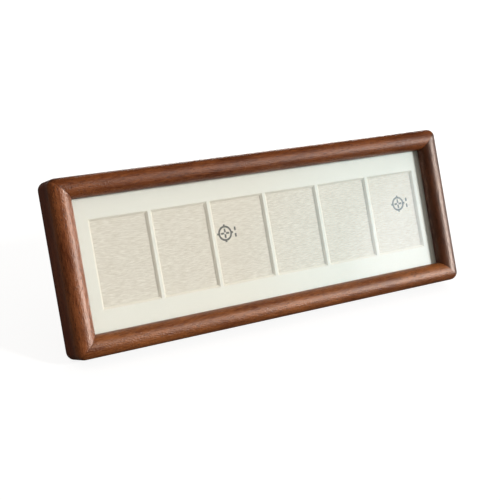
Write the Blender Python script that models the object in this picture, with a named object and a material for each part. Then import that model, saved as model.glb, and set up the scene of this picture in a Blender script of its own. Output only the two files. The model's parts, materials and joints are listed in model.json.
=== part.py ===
"""Wooden picture frame with a six-window mat, standing on an easel strut.

Metres, +Z up, the picture faces -Y. The frame is modelled upright, with its back plane
at y = 0 and its bottom edge at z = 0, and an empty leans the whole of it back.
The origin is on the table, at the middle of the footprint.
"""
import math

import bmesh
import bpy
from mathutils import Matrix, Vector

for old_object in list(bpy.data.objects):
    bpy.data.objects.remove(old_object, do_unlink=True)

# Mat and its windows
WINDOW_COUNT = 6
WINDOW_WIDTH = 0.0435
WINDOW_HEIGHT = 0.061
WINDOW_BAR = 0.0022
WINDOW_SHIFT = 0.0015
MAT_SIDE_MARGIN = 0.009
MAT_TOP_MARGIN = 0.0145

# Moulding section
MOULDING_WIDTH = 0.015
MOULDING_DEPTH = 0.0265
LIP_WIDTH = 0.0055
LIP_WALL = 0.0025
CORNER_RADIUS = 0.006
BACK_ARRIS = 0.0005
ROUND_STEPS = 28
CORNER_STEPS = 7

# Sheets in the rabbet, from the lip to the back
GLASS_THICKNESS = 0.002
MAT_THICKNESS = 0.0015
CARD_THICKNESS = 0.0005
BACKING_THICKNESS = 0.003
BACKING_RECESS = 0.0002
SHEET_PLAY = 0.0005

# Running and seating clearances
GAP = 0.0003
MITRE_GAP = 0.00015
PIN_PLAY = 0.0002

# How the frame stands
LEAN = math.radians(20.0)
STRUT_OPENING = math.radians(33.0)

# Easel strut and its hinge
HINGE_DROP = 0.0225
LEAF_THICKNESS = 0.0008
LEAF_WIDTH = 0.030
LEAF_HEIGHT = 0.016
KNUCKLE_RADIUS = 0.00185
KNUCKLE_WIDTH = 0.012
PIN_RADIUS = 0.00085
PIN_HEAD_RADIUS = 0.0015
PIN_HEAD_LENGTH = 0.0008
STOP_WIDTH = 0.009
STOP_REACH = 0.0035
STRUT_THICKNESS = 0.003
STRUT_TOP_WIDTH = 0.034
STRUT_FOOT_WIDTH = 0.048
STRUT_TOP_RADIUS = 0.004
STRUT_FOOT_RADIUS = 0.005
STRUT_TOP_CLEARANCE = 0.0012
RIVET_HEAD_RADIUS = 0.0024
RIVET_HEAD_HEIGHT = 0.0009
RIVET_SHANK_RADIUS = 0.0011
RIVET_SPACING = 0.018
RIVET_EDGE = 0.0055

# Turn buttons and their screws
BUTTON_WIDTH = 0.008
BUTTON_REACH = 0.014
BUTTON_THICKNESS = 0.0008
BUTTON_SPACING = 0.190
SCREW_HEAD_RADIUS = 0.0024
SCREW_HEAD_HEIGHT = 0.0013
SCREW_SHANK_RADIUS = 0.0011
SCREW_LENGTH = 0.009
SCREW_SLOT_WIDTH = 0.0006
SCREW_SLOT_LENGTH = 0.0028
SCREW_SLOT_DEPTH = 0.0007

# V-nails across the mitres
V_NAIL_WING = 0.0045
V_NAIL_THICKNESS = 0.0005
V_NAIL_DEPTH = 0.008

# Sawtooth hanger and its nails
HANGER_LENGTH = 0.042
HANGER_HEIGHT = 0.007
HANGER_THICKNESS = 0.0006
HANGER_END = 0.0065
HANGER_RISE = 0.0014
HANGER_SLOPE = 0.002
TOOTH_COUNT = 10
TOOTH_DEPTH = 0.0013
NAIL_SHANK_RADIUS = 0.0006
NAIL_HEAD_RADIUS = 0.0015
NAIL_HEAD_HEIGHT = 0.0006
NAIL_LENGTH = 0.009

# Worked out from the sizes above
WINDOW_PITCH = WINDOW_WIDTH + WINDOW_BAR
SIGHT_WIDTH = WINDOW_COUNT * WINDOW_WIDTH + (WINDOW_COUNT - 1) * WINDOW_BAR + 2 * MAT_SIDE_MARGIN
SIGHT_HEIGHT = WINDOW_HEIGHT + 2 * MAT_TOP_MARGIN
OUTER_WIDTH = SIGHT_WIDTH + 2 * MOULDING_WIDTH
OUTER_HEIGHT = SIGHT_HEIGHT + 2 * MOULDING_WIDTH
ROUND_RADIUS = MOULDING_WIDTH / 2
BACK_FACE = MOULDING_WIDTH - LIP_WIDTH
FASTENER_INSET = BACK_FACE / 2
RABBET_DEPTH = MOULDING_DEPTH - ROUND_RADIUS - LIP_WALL
SHEET_WIDTH = SIGHT_WIDTH + 2 * LIP_WIDTH - 2 * SHEET_PLAY
SHEET_HEIGHT = SIGHT_HEIGHT + 2 * LIP_WIDTH - 2 * SHEET_PLAY
MIDDLE_Z = OUTER_HEIGHT / 2
GLASS_FRONT = -RABBET_DEPTH + GAP
MAT_FRONT = GLASS_FRONT + GLASS_THICKNESS + GAP
CARD_FRONT = MAT_FRONT + MAT_THICKNESS + GAP
FILLER_FRONT = CARD_FRONT + CARD_THICKNESS + GAP
BACKING_BACK = -BACKING_RECESS
BACKING_FRONT = BACKING_BACK - BACKING_THICKNESS
FILLER_BACK = BACKING_FRONT - GAP
FIXED_LEAF_FRONT = BACKING_BACK + GAP
FIXED_LEAF_BACK = FIXED_LEAF_FRONT + LEAF_THICKNESS
HINGE_Y = FIXED_LEAF_FRONT + KNUCKLE_RADIUS
HINGE_Z = MIDDLE_Z + SHEET_HEIGHT / 2 - HINGE_DROP
LEAF_START = KNUCKLE_RADIUS + GAP

# The strut is drawn folded flat, with its hinge pin as origin
MOVING_LEAF_FRONT = GAP + PIN_PLAY / 2 - HINGE_Y
MOVING_LEAF_BACK = MOVING_LEAF_FRONT + LEAF_THICKNESS
STRUT_FRONT = MOVING_LEAF_BACK + GAP
STRUT_BACK = STRUT_FRONT + STRUT_THICKNESS
STRUT_TOP = -KNUCKLE_RADIUS - STRUT_TOP_CLEARANCE
STRUT_TILT = STRUT_OPENING - LEAN

# The lowest line of the frame is the front edge of the bottom rail's back arris
TABLE_DROP = BACK_ARRIS * math.sin(LEAN)
HINGE_ABOVE_TABLE = HINGE_Z * math.cos(LEAN) - HINGE_Y * math.sin(LEAN) - TABLE_DROP


def foot_height(y):
    """Height, from the hinge pin, at which the open strut meets the table."""
    return -(HINGE_ABOVE_TABLE + y * math.sin(STRUT_TILT)) / math.cos(STRUT_TILT)


def reach_back(y, z):
    """How far behind the leaning frame's bottom edge a point of the open strut lies."""
    hinge = HINGE_Z * math.sin(LEAN) + HINGE_Y * math.cos(LEAN)
    return hinge + y * math.cos(STRUT_TILT) - z * math.sin(STRUT_TILT)


ROUND_CENTRE = (-(MOULDING_DEPTH - ROUND_RADIUS), ROUND_RADIUS)
FRONT_REACH = ROUND_CENTRE[0] * math.cos(LEAN) + ROUND_CENTRE[1] * math.sin(LEAN) - ROUND_RADIUS
BACK_REACH = reach_back(STRUT_BACK, foot_height(STRUT_BACK))
SHIFT_Y = -(FRONT_REACH + BACK_REACH) / 2


def material(name, colour, roughness, metallic=0.0):
    """A plain Principled material."""
    made = bpy.data.materials.new(name)
    made.use_nodes = True
    shader = made.node_tree.nodes["Principled BSDF"]
    shader.inputs["Base Color"].default_value = (*colour, 1.0)
    shader.inputs["Roughness"].default_value = roughness
    shader.inputs["Metallic"].default_value = metallic
    return made


WOOD = material("stained_hardwood", (0.18, 0.06, 0.028), 0.38)
GLASS = material("clear_glass", (0.93, 0.96, 0.95), 0.02)
MAT = material("cream_mat_board", (0.80, 0.80, 0.72), 0.85)
CARD = material("ivory_card", (0.72, 0.69, 0.60), 0.8)
CORRUGATED = material("corrugated_board", (0.48, 0.33, 0.19), 0.9)
HARDBOARD = material("brown_hardboard", (0.16, 0.085, 0.045), 0.6)
STEEL = material("nickelled_steel", (0.62, 0.61, 0.58), 0.3, 1.0)
BRASS = material("brassed_steel", (0.66, 0.49, 0.22), 0.32, 1.0)


def place(name, bm, finish, parent, location=(0.0, 0.0, 0.0), turn=0.0, smooth=True):
    """Make a named object of a bmesh, under a parent, turned about its own Y axis."""
    bmesh.ops.recalc_face_normals(bm, faces=bm.faces)
    mesh = bpy.data.meshes.new(name)
    bm.to_mesh(mesh)
    bm.free()
    mesh.materials.append(finish)
    return place_mesh(name, mesh, parent, location, turn, smooth)


def place_mesh(name, mesh, parent, location=(0.0, 0.0, 0.0), turn=0.0, smooth=True):
    """Make a named object of a mesh that may be shared."""
    if smooth:
        mesh.shade_smooth()
        mesh.set_sharp_from_angle(angle=math.radians(32.0))
    made = bpy.data.objects.new(name, mesh)
    bpy.context.collection.objects.link(made)
    made.parent = parent
    made.location = location
    made.rotation_euler = (0.0, turn, 0.0)
    return made


def cutter(name, bm, parent):
    """A helper solid that only cuts others."""
    made = place(name, bm, STEEL, parent, smooth=False)
    made.hide_render = True
    made.display_type = "WIRE"
    return made


def cut(target, tool, operation="DIFFERENCE"):
    """Keep an exact Boolean on the target."""
    modifier = target.modifiers.new(tool.name, "BOOLEAN")
    modifier.object = tool
    modifier.operation = operation
    modifier.solver = "EXACT"


def add_prism(bm, outline, front, back):
    """Add the closed prism of an outline in X and Z between two depths in Y."""
    face = bm.faces.new([bm.verts.new((x, front, z)) for x, z in outline])
    grown = bmesh.ops.extrude_face_region(bm, geom=[face])
    top = [v for v in grown["geom"] if isinstance(v, bmesh.types.BMVert)]
    bmesh.ops.translate(bm, verts=top, vec=(0.0, back - front, 0.0))


def add_turned(bm, profile, centre, axis="Y", steps=20):
    """Add a closed round solid: profile holds (radius, height) from one end to the other."""
    rings = []
    for radius, height in profile:
        ring = []
        for i in range(steps if radius > 0 else 1):
            angle = math.tau * i / steps
            across = (radius * math.cos(angle), radius * math.sin(angle))
            point = (across[0], height, across[1]) if axis == "Y" else (height, across[0], across[1])
            ring.append(bm.verts.new(Vector(centre) + Vector(point)))
        rings.append(ring)
    for low, high in zip(rings, rings[1:]):
        for i in range(steps):
            j = (i + 1) % steps
            corners = [low[i % len(low)], low[j % len(low)], high[j % len(high)], high[i % len(high)]]
            bm.faces.new(list(dict.fromkeys(corners)))
    for ring in (rings[0], rings[-1]):
        if len(ring) > 1:
            bm.faces.new(ring)


def box_outline(left, right, low, high):
    """Corners of an upright rectangle."""
    return [(left, low), (right, low), (right, high), (left, high)]


def arc(centre, radius, start, end, steps):
    """Points of an arc in X and Z, angles in degrees from +X towards +Z."""
    points = []
    for i in range(steps + 1):
        angle = math.radians(start + (end - start) * i / steps)
        points.append((centre[0] + radius * math.cos(angle), centre[1] + radius * math.sin(angle)))
    return points


def empty(name, parent=None, location=(0.0, 0.0, 0.0), tilt=0.0):
    """An empty that carries pieces."""
    made = bpy.data.objects.new(name, None)
    bpy.context.collection.objects.link(made)
    made.parent = parent
    made.location = location
    made.rotation_euler = (tilt, 0.0, 0.0)
    return made


LEANING = empty("leaning_frame", location=(0.0, SHIFT_Y, -TABLE_DROP), tilt=-LEAN)
PIVOT = empty("strut_pivot", LEANING, (0.0, HINGE_Y, HINGE_Z), STRUT_OPENING)


def moulding_section():
    """The moulding's outline as (distance in from the outer side, y), once round."""
    points = [(BACK_ARRIS, 0.0), (0.0, -BACK_ARRIS)]
    angles = [math.pi * i / ROUND_STEPS for i in range(ROUND_STEPS + 1)]
    if CORNER_RADIUS < MOULDING_WIDTH:
        angles.append(math.acos(1 - CORNER_RADIUS / ROUND_RADIUS))
    for angle in sorted(angles):
        inward = ROUND_RADIUS * (1 - math.cos(angle))
        points.append((inward, ROUND_CENTRE[0] - ROUND_RADIUS * math.sin(angle)))
    points += [(MOULDING_WIDTH, -RABBET_DEPTH), (BACK_FACE, -RABBET_DEPTH), (BACK_FACE, 0.0)]
    if CORNER_RADIUS < BACK_FACE:
        points.append((CORNER_RADIUS, 0.0))
    return points


def rail(name, along, outward, half_length, half_across):
    """One mitred side of the frame, with its share of the rounded outer corners."""
    bm = bmesh.new()
    centre = Vector((0.0, 0.0, MIDDLE_Z))
    half_length = half_length - MITRE_GAP / math.sqrt(2)
    turns = [math.radians(45.0) * (1 - i / CORNER_STEPS) for i in range(CORNER_STEPS + 1)]
    stations = [(-1, turn) for turn in turns] + [(1, turn) for turn in reversed(turns)]
    rings = []
    for side, turn in stations:
        ring = []
        for inward, y in moulding_section():
            radius = max(CORNER_RADIUS - inward, 0.0)
            start = max(CORNER_RADIUS, inward)
            length = half_length - start + radius * math.sin(turn)
            across = half_across - start + radius * math.cos(turn)
            point = centre + side * length * along + across * outward + Vector((0.0, y, 0.0))
            ring.append(bm.verts.new(point))
        rings.append(ring)
    count = len(rings[0])
    for first, second in zip(rings, rings[1:]):
        for i in range(count):
            j = (i + 1) % count
            bm.faces.new((first[i], first[j], second[j], second[i]))
    bm.faces.new(rings[0])
    bm.faces.new(list(reversed(rings[-1])))
    bmesh.ops.remove_doubles(bm, verts=bm.verts, dist=1e-7)
    return place(name, bm, WOOD, LEANING)


def v_nail_outline(corner_x, corner_z, spare):
    """An L across a mitre, its two wings along the two rails; spare widens and lengthens it."""
    sign_x = math.copysign(1.0, corner_x)
    sign_z = math.copysign(1.0, corner_z)
    half = V_NAIL_THICKNESS / 2 + spare
    wing = V_NAIL_WING + spare
    shape = [(half, half), (-wing, half), (-wing, -half), (-half, -half), (-half, -wing), (half, -wing)]
    apex_x = abs(corner_x) - FASTENER_INSET
    apex_z = abs(corner_z) - FASTENER_INSET
    return [(sign_x * (apex_x + x), MIDDLE_Z + sign_z * (apex_z + z)) for x, z in shape]


CORNERS = {
    "top_left": (-OUTER_WIDTH / 2, OUTER_HEIGHT / 2),
    "top_right": (OUTER_WIDTH / 2, OUTER_HEIGHT / 2),
    "bottom_left": (-OUTER_WIDTH / 2, -OUTER_HEIGHT / 2),
    "bottom_right": (OUTER_WIDTH / 2, -OUTER_HEIGHT / 2),
}
TOP_LINE = OUTER_HEIGHT - FASTENER_INSET
SIDE_LINE = OUTER_WIDTH / 2 - FASTENER_INSET

# Each button's pivot, and its turn about Y from pointing down
BUTTONS = {
    "top_left": (-BUTTON_SPACING / 2, TOP_LINE, 0.0),
    "top_right": (BUTTON_SPACING / 2, TOP_LINE, 0.0),
    "bottom_left": (-BUTTON_SPACING / 2, FASTENER_INSET, math.pi),
    "bottom_right": (BUTTON_SPACING / 2, FASTENER_INSET, math.pi),
    "left": (-SIDE_LINE, MIDDLE_Z, -math.pi / 2),
    "right": (SIDE_LINE, MIDDLE_Z, math.pi / 2),
}
NAIL_X = (HANGER_LENGTH - HANGER_END) / 2
BUTTON_BACK = GAP + BUTTON_THICKNESS
SCREW_SEAT = BUTTON_BACK + GAP
HANGER_BACK = GAP + HANGER_THICKNESS
NAIL_SEAT = HANGER_BACK + GAP


def make_frame():
    """Rails and stiles, the V-nails and the holes that fasteners need."""
    across = Vector((1.0, 0.0, 0.0))
    up = Vector((0.0, 0.0, 1.0))
    rails = [
        rail("rail_top", across, up, OUTER_WIDTH / 2, OUTER_HEIGHT / 2),
        rail("rail_bottom", across, -up, OUTER_WIDTH / 2, OUTER_HEIGHT / 2),
        rail("stile_left", up, -across, OUTER_HEIGHT / 2, OUTER_WIDTH / 2),
        rail("stile_right", up, across, OUTER_HEIGHT / 2, OUTER_WIDTH / 2),
    ]
    bm = bmesh.new()
    past_back = GAP
    for corner_x, corner_z in CORNERS.values():
        outline = v_nail_outline(corner_x, corner_z, GAP)
        add_prism(bm, outline, -V_NAIL_DEPTH - 2 * GAP, past_back)
    for x, z, _ in BUTTONS.values():
        hole = SCREW_SHANK_RADIUS + GAP
        depth = SCREW_SEAT - SCREW_LENGTH - GAP
        add_turned(bm, [(hole, depth), (hole, past_back)], (x, 0.0, z), steps=16)
    for side in (-1, 1):
        hole = NAIL_SHANK_RADIUS + GAP
        depth = NAIL_SEAT - NAIL_LENGTH - GAP
        add_turned(bm, [(hole, depth), (hole, past_back)], (side * NAIL_X, 0.0, TOP_LINE), steps=12)
    holes = cutter("fastener_holes", bm, LEANING)
    for wood in rails:
        cut(wood, holes)
    for corner, (corner_x, corner_z) in CORNERS.items():
        bm = bmesh.new()
        add_prism(bm, v_nail_outline(corner_x, corner_z, 0.0), -V_NAIL_DEPTH - GAP, -GAP)
        place("v_nail_" + corner, bm, STEEL, LEANING, smooth=False)


def sheet(name, front, back, finish):
    """A flat sheet that fills the rabbet."""
    bm = bmesh.new()
    half_height = SHEET_HEIGHT / 2
    outline = box_outline(-SHEET_WIDTH / 2, SHEET_WIDTH / 2, MIDDLE_Z - half_height, MIDDLE_Z + half_height)
    add_prism(bm, outline, front, back)
    return place(name, bm, finish, LEANING, smooth=False)


def window_cutter():
    """Six frusta whose sides slope at 45 degrees, as a mat cutter leaves them.

    The row was cut a little to the right of the mat's middle.
    """
    bm = bmesh.new()
    over = MAT_THICKNESS / 2
    depths = (MAT_FRONT - over, MAT_FRONT + MAT_THICKNESS + over)
    spreads = (over, -MAT_THICKNESS - over)
    for index in range(WINDOW_COUNT):
        centre = WINDOW_SHIFT + (index - (WINDOW_COUNT - 1) / 2) * WINDOW_PITCH
        rings = []
        for y, spread in zip(depths, spreads):
            half_x = WINDOW_WIDTH / 2 + spread
            half_z = WINDOW_HEIGHT / 2 + spread
            outline = box_outline(centre - half_x, centre + half_x, MIDDLE_Z - half_z, MIDDLE_Z + half_z)
            rings.append([bm.verts.new((x, y, z)) for x, z in outline])
        for i in range(4):
            j = (i + 1) % 4
            bm.faces.new((rings[0][i], rings[0][j], rings[1][j], rings[1][i]))
        for ring in rings:
            bm.faces.new(ring)
    return cutter("window_openings", bm, LEANING)


def make_sheets():
    """Glass, mat, card, filler and backing board."""
    sheet("glass_pane", GLASS_FRONT, GLASS_FRONT + GLASS_THICKNESS, GLASS)
    mat = sheet("mat_board", MAT_FRONT, MAT_FRONT + MAT_THICKNESS, MAT)
    cut(mat, window_cutter())
    sheet("insert_card", CARD_FRONT, CARD_FRONT + CARD_THICKNESS, CARD)
    sheet("filler_board", FILLER_FRONT, FILLER_BACK, CORRUGATED)
    backing = sheet("backing_board", BACKING_FRONT, BACKING_BACK, HARDBOARD)
    bm = bmesh.new()
    hole = RIVET_SHANK_RADIUS + GAP
    for side in (-1, 1):
        centre = (side * RIVET_SPACING / 2, 0.0, HINGE_Z + LEAF_HEIGHT - RIVET_EDGE)
        add_turned(bm, [(hole, BACKING_FRONT - GAP), (hole, BACKING_BACK + GAP)], centre, steps=16)
    cut(backing, cutter("backing_rivet_holes", bm, LEANING))


def make_buttons():
    """Turn buttons, pivoting on their screws."""
    bm = bmesh.new()
    half = BUTTON_WIDTH / 2
    outline = arc((0.0, 0.0), half, 0.0, 180.0, 10) + arc((0.0, -BUTTON_REACH), half, 180.0, 360.0, 10)
    add_prism(bm, outline, GAP, BUTTON_BACK)
    blank = place("button_blank", bm, BRASS, None)
    bm = bmesh.new()
    hole = SCREW_SHANK_RADIUS + PIN_PLAY
    add_turned(bm, [(hole, 0.0), (hole, SCREW_SEAT)], (0.0, 0.0, 0.0), steps=20)
    button_mesh = finished_mesh(blank, cutter("button_hole", bm, None))
    screw_mesh = make_screw_mesh()
    for side, (x, z, turn) in BUTTONS.items():
        place_mesh("turn_button_" + side, button_mesh, LEANING, (x, 0.0, z), turn)
        place_mesh("button_screw_" + side, screw_mesh, LEANING, (x, 0.0, z), turn)


def finished_mesh(blank, tool):
    """The blank cut by the tool, as one mesh to share; both objects go."""
    cut(blank, tool)
    bpy.context.view_layer.update()
    evaluated = blank.evaluated_get(bpy.context.evaluated_depsgraph_get())
    mesh = bpy.data.meshes.new_from_object(evaluated)
    mesh.name = blank.name
    bpy.data.objects.remove(tool, do_unlink=True)
    bpy.data.objects.remove(blank, do_unlink=True)
    return mesh


def make_screw_mesh():
    """A round-headed wood screw with a cross slot."""
    top = SCREW_SEAT + SCREW_HEAD_HEIGHT
    tip = SCREW_SEAT - SCREW_LENGTH
    shank = SCREW_SHANK_RADIUS
    profile = [(0.0, tip), (shank * 0.5, tip + shank), (shank, tip + 3 * shank), (shank, SCREW_SEAT)]
    profile.append((SCREW_HEAD_RADIUS, SCREW_SEAT))
    for share in (0.35, 0.7, 0.9):
        round_off = math.sqrt(1 - share * share)
        profile.append((SCREW_HEAD_RADIUS * round_off, SCREW_SEAT + SCREW_HEAD_HEIGHT * share))
    profile.append((0.0, top))
    bm = bmesh.new()
    add_turned(bm, profile, (0.0, 0.0, 0.0), steps=20)
    blank = place("screw_blank", bm, STEEL, None)
    bm = bmesh.new()
    half_length = SCREW_SLOT_LENGTH / 2
    half = SCREW_SLOT_WIDTH / 2
    cross = [(half, half), (half, half_length), (-half, half_length), (-half, half)]
    cross += [(-half_length, half), (-half_length, -half), (-half, -half), (-half, -half_length)]
    cross += [(half, -half_length), (half, -half), (half_length, -half), (half_length, half)]
    add_prism(bm, cross, top - SCREW_SLOT_DEPTH, top + SCREW_SLOT_DEPTH)
    return finished_mesh(blank, cutter("screw_slot", bm, None))


def add_knuckle(bm, left, right, centre_y, centre_z):
    """A solid length of hinge barrel along X."""
    profile = [(KNUCKLE_RADIUS, left), (KNUCKLE_RADIUS, right)]
    add_turned(bm, profile, (0.0, centre_y, centre_z), axis="X", steps=20)


def bore_cutter(name, parent, centre_y, centre_z):
    """The pin's bore through the whole barrel."""
    bm = bmesh.new()
    half = LEAF_WIDTH / 2 + GAP
    radius = PIN_RADIUS + PIN_PLAY
    add_turned(bm, [(radius, -half), (radius, half)], (0.0, centre_y, centre_z), axis="X", steps=20)
    return cutter(name, bm, parent)


def make_hinge():
    """The strut's hinge: a fixed leaf, a moving leaf with a stop tab, a pin and four rivets."""
    half_leaf = LEAF_WIDTH / 2
    inner = KNUCKLE_WIDTH / 2
    outer = inner + GAP

    bm = bmesh.new()
    top = HINGE_Z + LEAF_HEIGHT
    notch = HINGE_Z + LEAF_START
    outline = [(-half_leaf, HINGE_Z), (-outer, HINGE_Z), (-outer, notch), (outer, notch)]
    outline += [(outer, HINGE_Z), (half_leaf, HINGE_Z), (half_leaf, top), (-half_leaf, top)]
    add_prism(bm, outline, FIXED_LEAF_FRONT, FIXED_LEAF_BACK)
    fixed = place("hinge_fixed_leaf", bm, STEEL, LEANING)
    bm = bmesh.new()
    add_knuckle(bm, -half_leaf, -outer, HINGE_Y, HINGE_Z)
    add_knuckle(bm, outer, half_leaf, HINGE_Y, HINGE_Z)
    cut(fixed, cutter("fixed_knuckles", bm, LEANING), "UNION")
    cut(fixed, bore_cutter("fixed_bore", LEANING, HINGE_Y, HINGE_Z))

    bm = bmesh.new()
    neck = -LEAF_START
    outline = [(-half_leaf, -LEAF_HEIGHT), (half_leaf, -LEAF_HEIGHT), (half_leaf, neck), (inner, neck)]
    outline += [(inner, 0.0), (-inner, 0.0), (-inner, neck), (-half_leaf, neck)]
    add_prism(bm, outline, MOVING_LEAF_FRONT, MOVING_LEAF_BACK)
    moving = place("hinge_moving_leaf", bm, STEEL, PIVOT)
    bm = bmesh.new()
    add_knuckle(bm, -inner, inner, 0.0, 0.0)
    cut(moving, cutter("moving_knuckle", bm, PIVOT), "UNION")
    bm = bmesh.new()
    stop_front = FIXED_LEAF_BACK + GAP - HINGE_Y
    reach = LEAF_START + STOP_REACH
    half_stop = STOP_WIDTH / 2
    add_prism(bm, box_outline(-half_stop, half_stop, 0.0, reach), stop_front, stop_front + LEAF_THICKNESS)
    bmesh.ops.rotate(bm, verts=bm.verts, cent=(0, 0, 0), matrix=Matrix.Rotation(-STRUT_OPENING, 3, "X"))
    cut(moving, cutter("stop_tab", bm, PIVOT), "UNION")
    cut(moving, bore_cutter("moving_bore", PIVOT, 0.0, 0.0))

    bm = bmesh.new()
    head_start = half_leaf + GAP
    head_end = head_start + PIN_HEAD_LENGTH
    crown = PIN_HEAD_RADIUS * 0.7
    profile = [(0.0, -head_end), (crown, -head_end), (PIN_HEAD_RADIUS, -head_start - PIN_HEAD_LENGTH / 2)]
    profile += [(PIN_HEAD_RADIUS, -head_start), (PIN_RADIUS, -head_start)]
    profile += [(radius, -along) for radius, along in reversed(profile)]
    add_turned(bm, profile, (0.0, HINGE_Y, HINGE_Z), axis="X", steps=16)
    place("hinge_pin", bm, STEEL, LEANING)

    rivet_z = HINGE_Z + LEAF_HEIGHT - RIVET_EDGE
    strut_z = -LEAF_HEIGHT + RIVET_EDGE
    tail = RIVET_SHANK_RADIUS + GAP
    fixed_holes = bmesh.new()
    moving_holes = bmesh.new()
    for side, label in ((-1, "left"), (1, "right")):
        x = side * RIVET_SPACING / 2
        rivet("backing_rivet_" + label, (x, 0.0, rivet_z), BACKING_FRONT, FIXED_LEAF_BACK + GAP, LEANING)
        rivet("strut_rivet_" + label, (x, 0.0, strut_z), MOVING_LEAF_FRONT, STRUT_BACK + GAP, PIVOT)
        fixed_span = [(tail, FIXED_LEAF_FRONT - GAP), (tail, FIXED_LEAF_BACK + GAP)]
        add_turned(fixed_holes, fixed_span, (x, 0.0, rivet_z), steps=16)
        moving_span = [(tail, MOVING_LEAF_FRONT - GAP), (tail, STRUT_BACK + GAP)]
        add_turned(moving_holes, moving_span, (x, 0.0, strut_z), steps=16)
    cut(fixed, cutter("fixed_leaf_holes", fixed_holes, LEANING))
    strut_holes = cutter("strut_holes", moving_holes, PIVOT)
    cut(moving, strut_holes)
    return strut_holes


def rivet(name, centre, tail, seat, parent):
    """A domed rivet from its tail to the seat of its head."""
    top = seat + RIVET_HEAD_HEIGHT
    profile = [(0.0, tail), (RIVET_SHANK_RADIUS, tail), (RIVET_SHANK_RADIUS, seat), (RIVET_HEAD_RADIUS, seat)]
    for share in (0.45, 0.85):
        round_off = math.sqrt(1 - share * share)
        profile.append((RIVET_HEAD_RADIUS * round_off, seat + RIVET_HEAD_HEIGHT * share))
    profile.append((0.0, top))
    bm = bmesh.new()
    add_turned(bm, profile, centre, steps=16)
    place(name, bm, STEEL, parent)


def make_strut(holes):
    """The easel strut, wider at the foot, whose end is cut to lie flat on the table."""
    half_top = STRUT_TOP_WIDTH / 2
    half_foot = STRUT_FOOT_WIDTH / 2
    foot = foot_height(0.0)
    foot_z = foot + STRUT_FOOT_RADIUS
    top_z = STRUT_TOP - STRUT_TOP_RADIUS
    outline = arc((half_foot - STRUT_FOOT_RADIUS, foot_z), STRUT_FOOT_RADIUS, -90.0, 0.0, 6)
    outline += arc((half_top - STRUT_TOP_RADIUS, top_z), STRUT_TOP_RADIUS, 0.0, 90.0, 6)
    outline += [(-x, z) for x, z in reversed(outline)]
    bm = bmesh.new()
    add_prism(bm, outline, STRUT_FRONT, STRUT_BACK)
    for vert in bm.verts:
        if vert.co.z < foot_z + GAP:
            vert.co.z += foot_height(vert.co.y) - foot
    board = place("strut_board", bm, HARDBOARD, PIVOT)
    cut(board, holes)


def hanger_offset(x):
    """How far the bent hanger stands off its ends at x."""
    flat_end = HANGER_LENGTH / 2 - HANGER_END
    return HANGER_RISE * min(max((flat_end - abs(x)) / HANGER_SLOPE, 0.0), 1.0)


def make_hanger():
    """A sawtooth hanger: a strip bent up in the middle, with teeth along its lower edge."""
    bm = bmesh.new()
    half = HANGER_LENGTH / 2
    flat_end = half - HANGER_END
    raised = flat_end - HANGER_SLOPE
    stations = [(-half, 0.0), (-flat_end, 0.0)]
    pitch = 2 * raised / TOOTH_COUNT
    for index in range(2 * TOOTH_COUNT + 1):
        stations.append((-raised + index * pitch / 2, TOOTH_DEPTH * (index % 2)))
    stations += [(flat_end, 0.0), (half, 0.0)]
    low = TOP_LINE - HANGER_HEIGHT / 2
    high = TOP_LINE + HANGER_HEIGHT / 2
    rings = []
    for x, bite in stations:
        front = GAP + hanger_offset(x)
        back = front + HANGER_THICKNESS
        corners = [(x, front, low + bite), (x, back, low + bite), (x, back, high), (x, front, high)]
        rings.append([bm.verts.new(corner) for corner in corners])
    for first, second in zip(rings, rings[1:]):
        for i in range(4):
            j = (i + 1) % 4
            bm.faces.new((first[i], first[j], second[j], second[i]))
    bm.faces.new(rings[0])
    bm.faces.new(rings[-1])
    hanger = place("sawtooth_hanger", bm, BRASS, LEANING, smooth=False)
    holes = bmesh.new()
    hole = NAIL_SHANK_RADIUS + GAP
    tip = NAIL_SEAT - NAIL_LENGTH
    top = NAIL_SEAT + NAIL_HEAD_HEIGHT
    profile = [(0.0, tip), (NAIL_SHANK_RADIUS, tip + 2 * NAIL_SHANK_RADIUS)]
    profile += [(NAIL_SHANK_RADIUS, NAIL_SEAT), (NAIL_HEAD_RADIUS, NAIL_SEAT)]
    profile += [(NAIL_HEAD_RADIUS, NAIL_SEAT + NAIL_HEAD_HEIGHT / 2)]
    profile += [(NAIL_HEAD_RADIUS / 2, top), (0.0, top)]
    for side, label in ((-1, "left"), (1, "right")):
        centre = (side * NAIL_X, 0.0, TOP_LINE)
        add_turned(holes, [(hole, 0.0), (hole, NAIL_SEAT)], centre, steps=12)
        bm = bmesh.new()
        add_turned(bm, profile, centre, steps=16)
        place("hanger_nail_" + label, bm, STEEL, LEANING)
    cut(hanger, cutter("hanger_holes", holes, LEANING))


make_frame()
make_sheets()
make_buttons()
make_strut(make_hinge())
make_hanger()
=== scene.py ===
# %% [markdown]
# # A wooden picture frame with six windows
# The object is a long tabletop frame: four mitred mouldings of stained hardwood, a pane of glass, a cream
# mat with six bevelled windows over a plain card, and a back that turn buttons hold in. It leans back on
# a folding strut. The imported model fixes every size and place. So this script only dresses it: it
# measures a CAD piece, builds a finer one where that piece lies, and lets the new one ride on its body.

import json
import math

import bmesh
import bpy
from mathutils import Matrix, Vector


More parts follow.
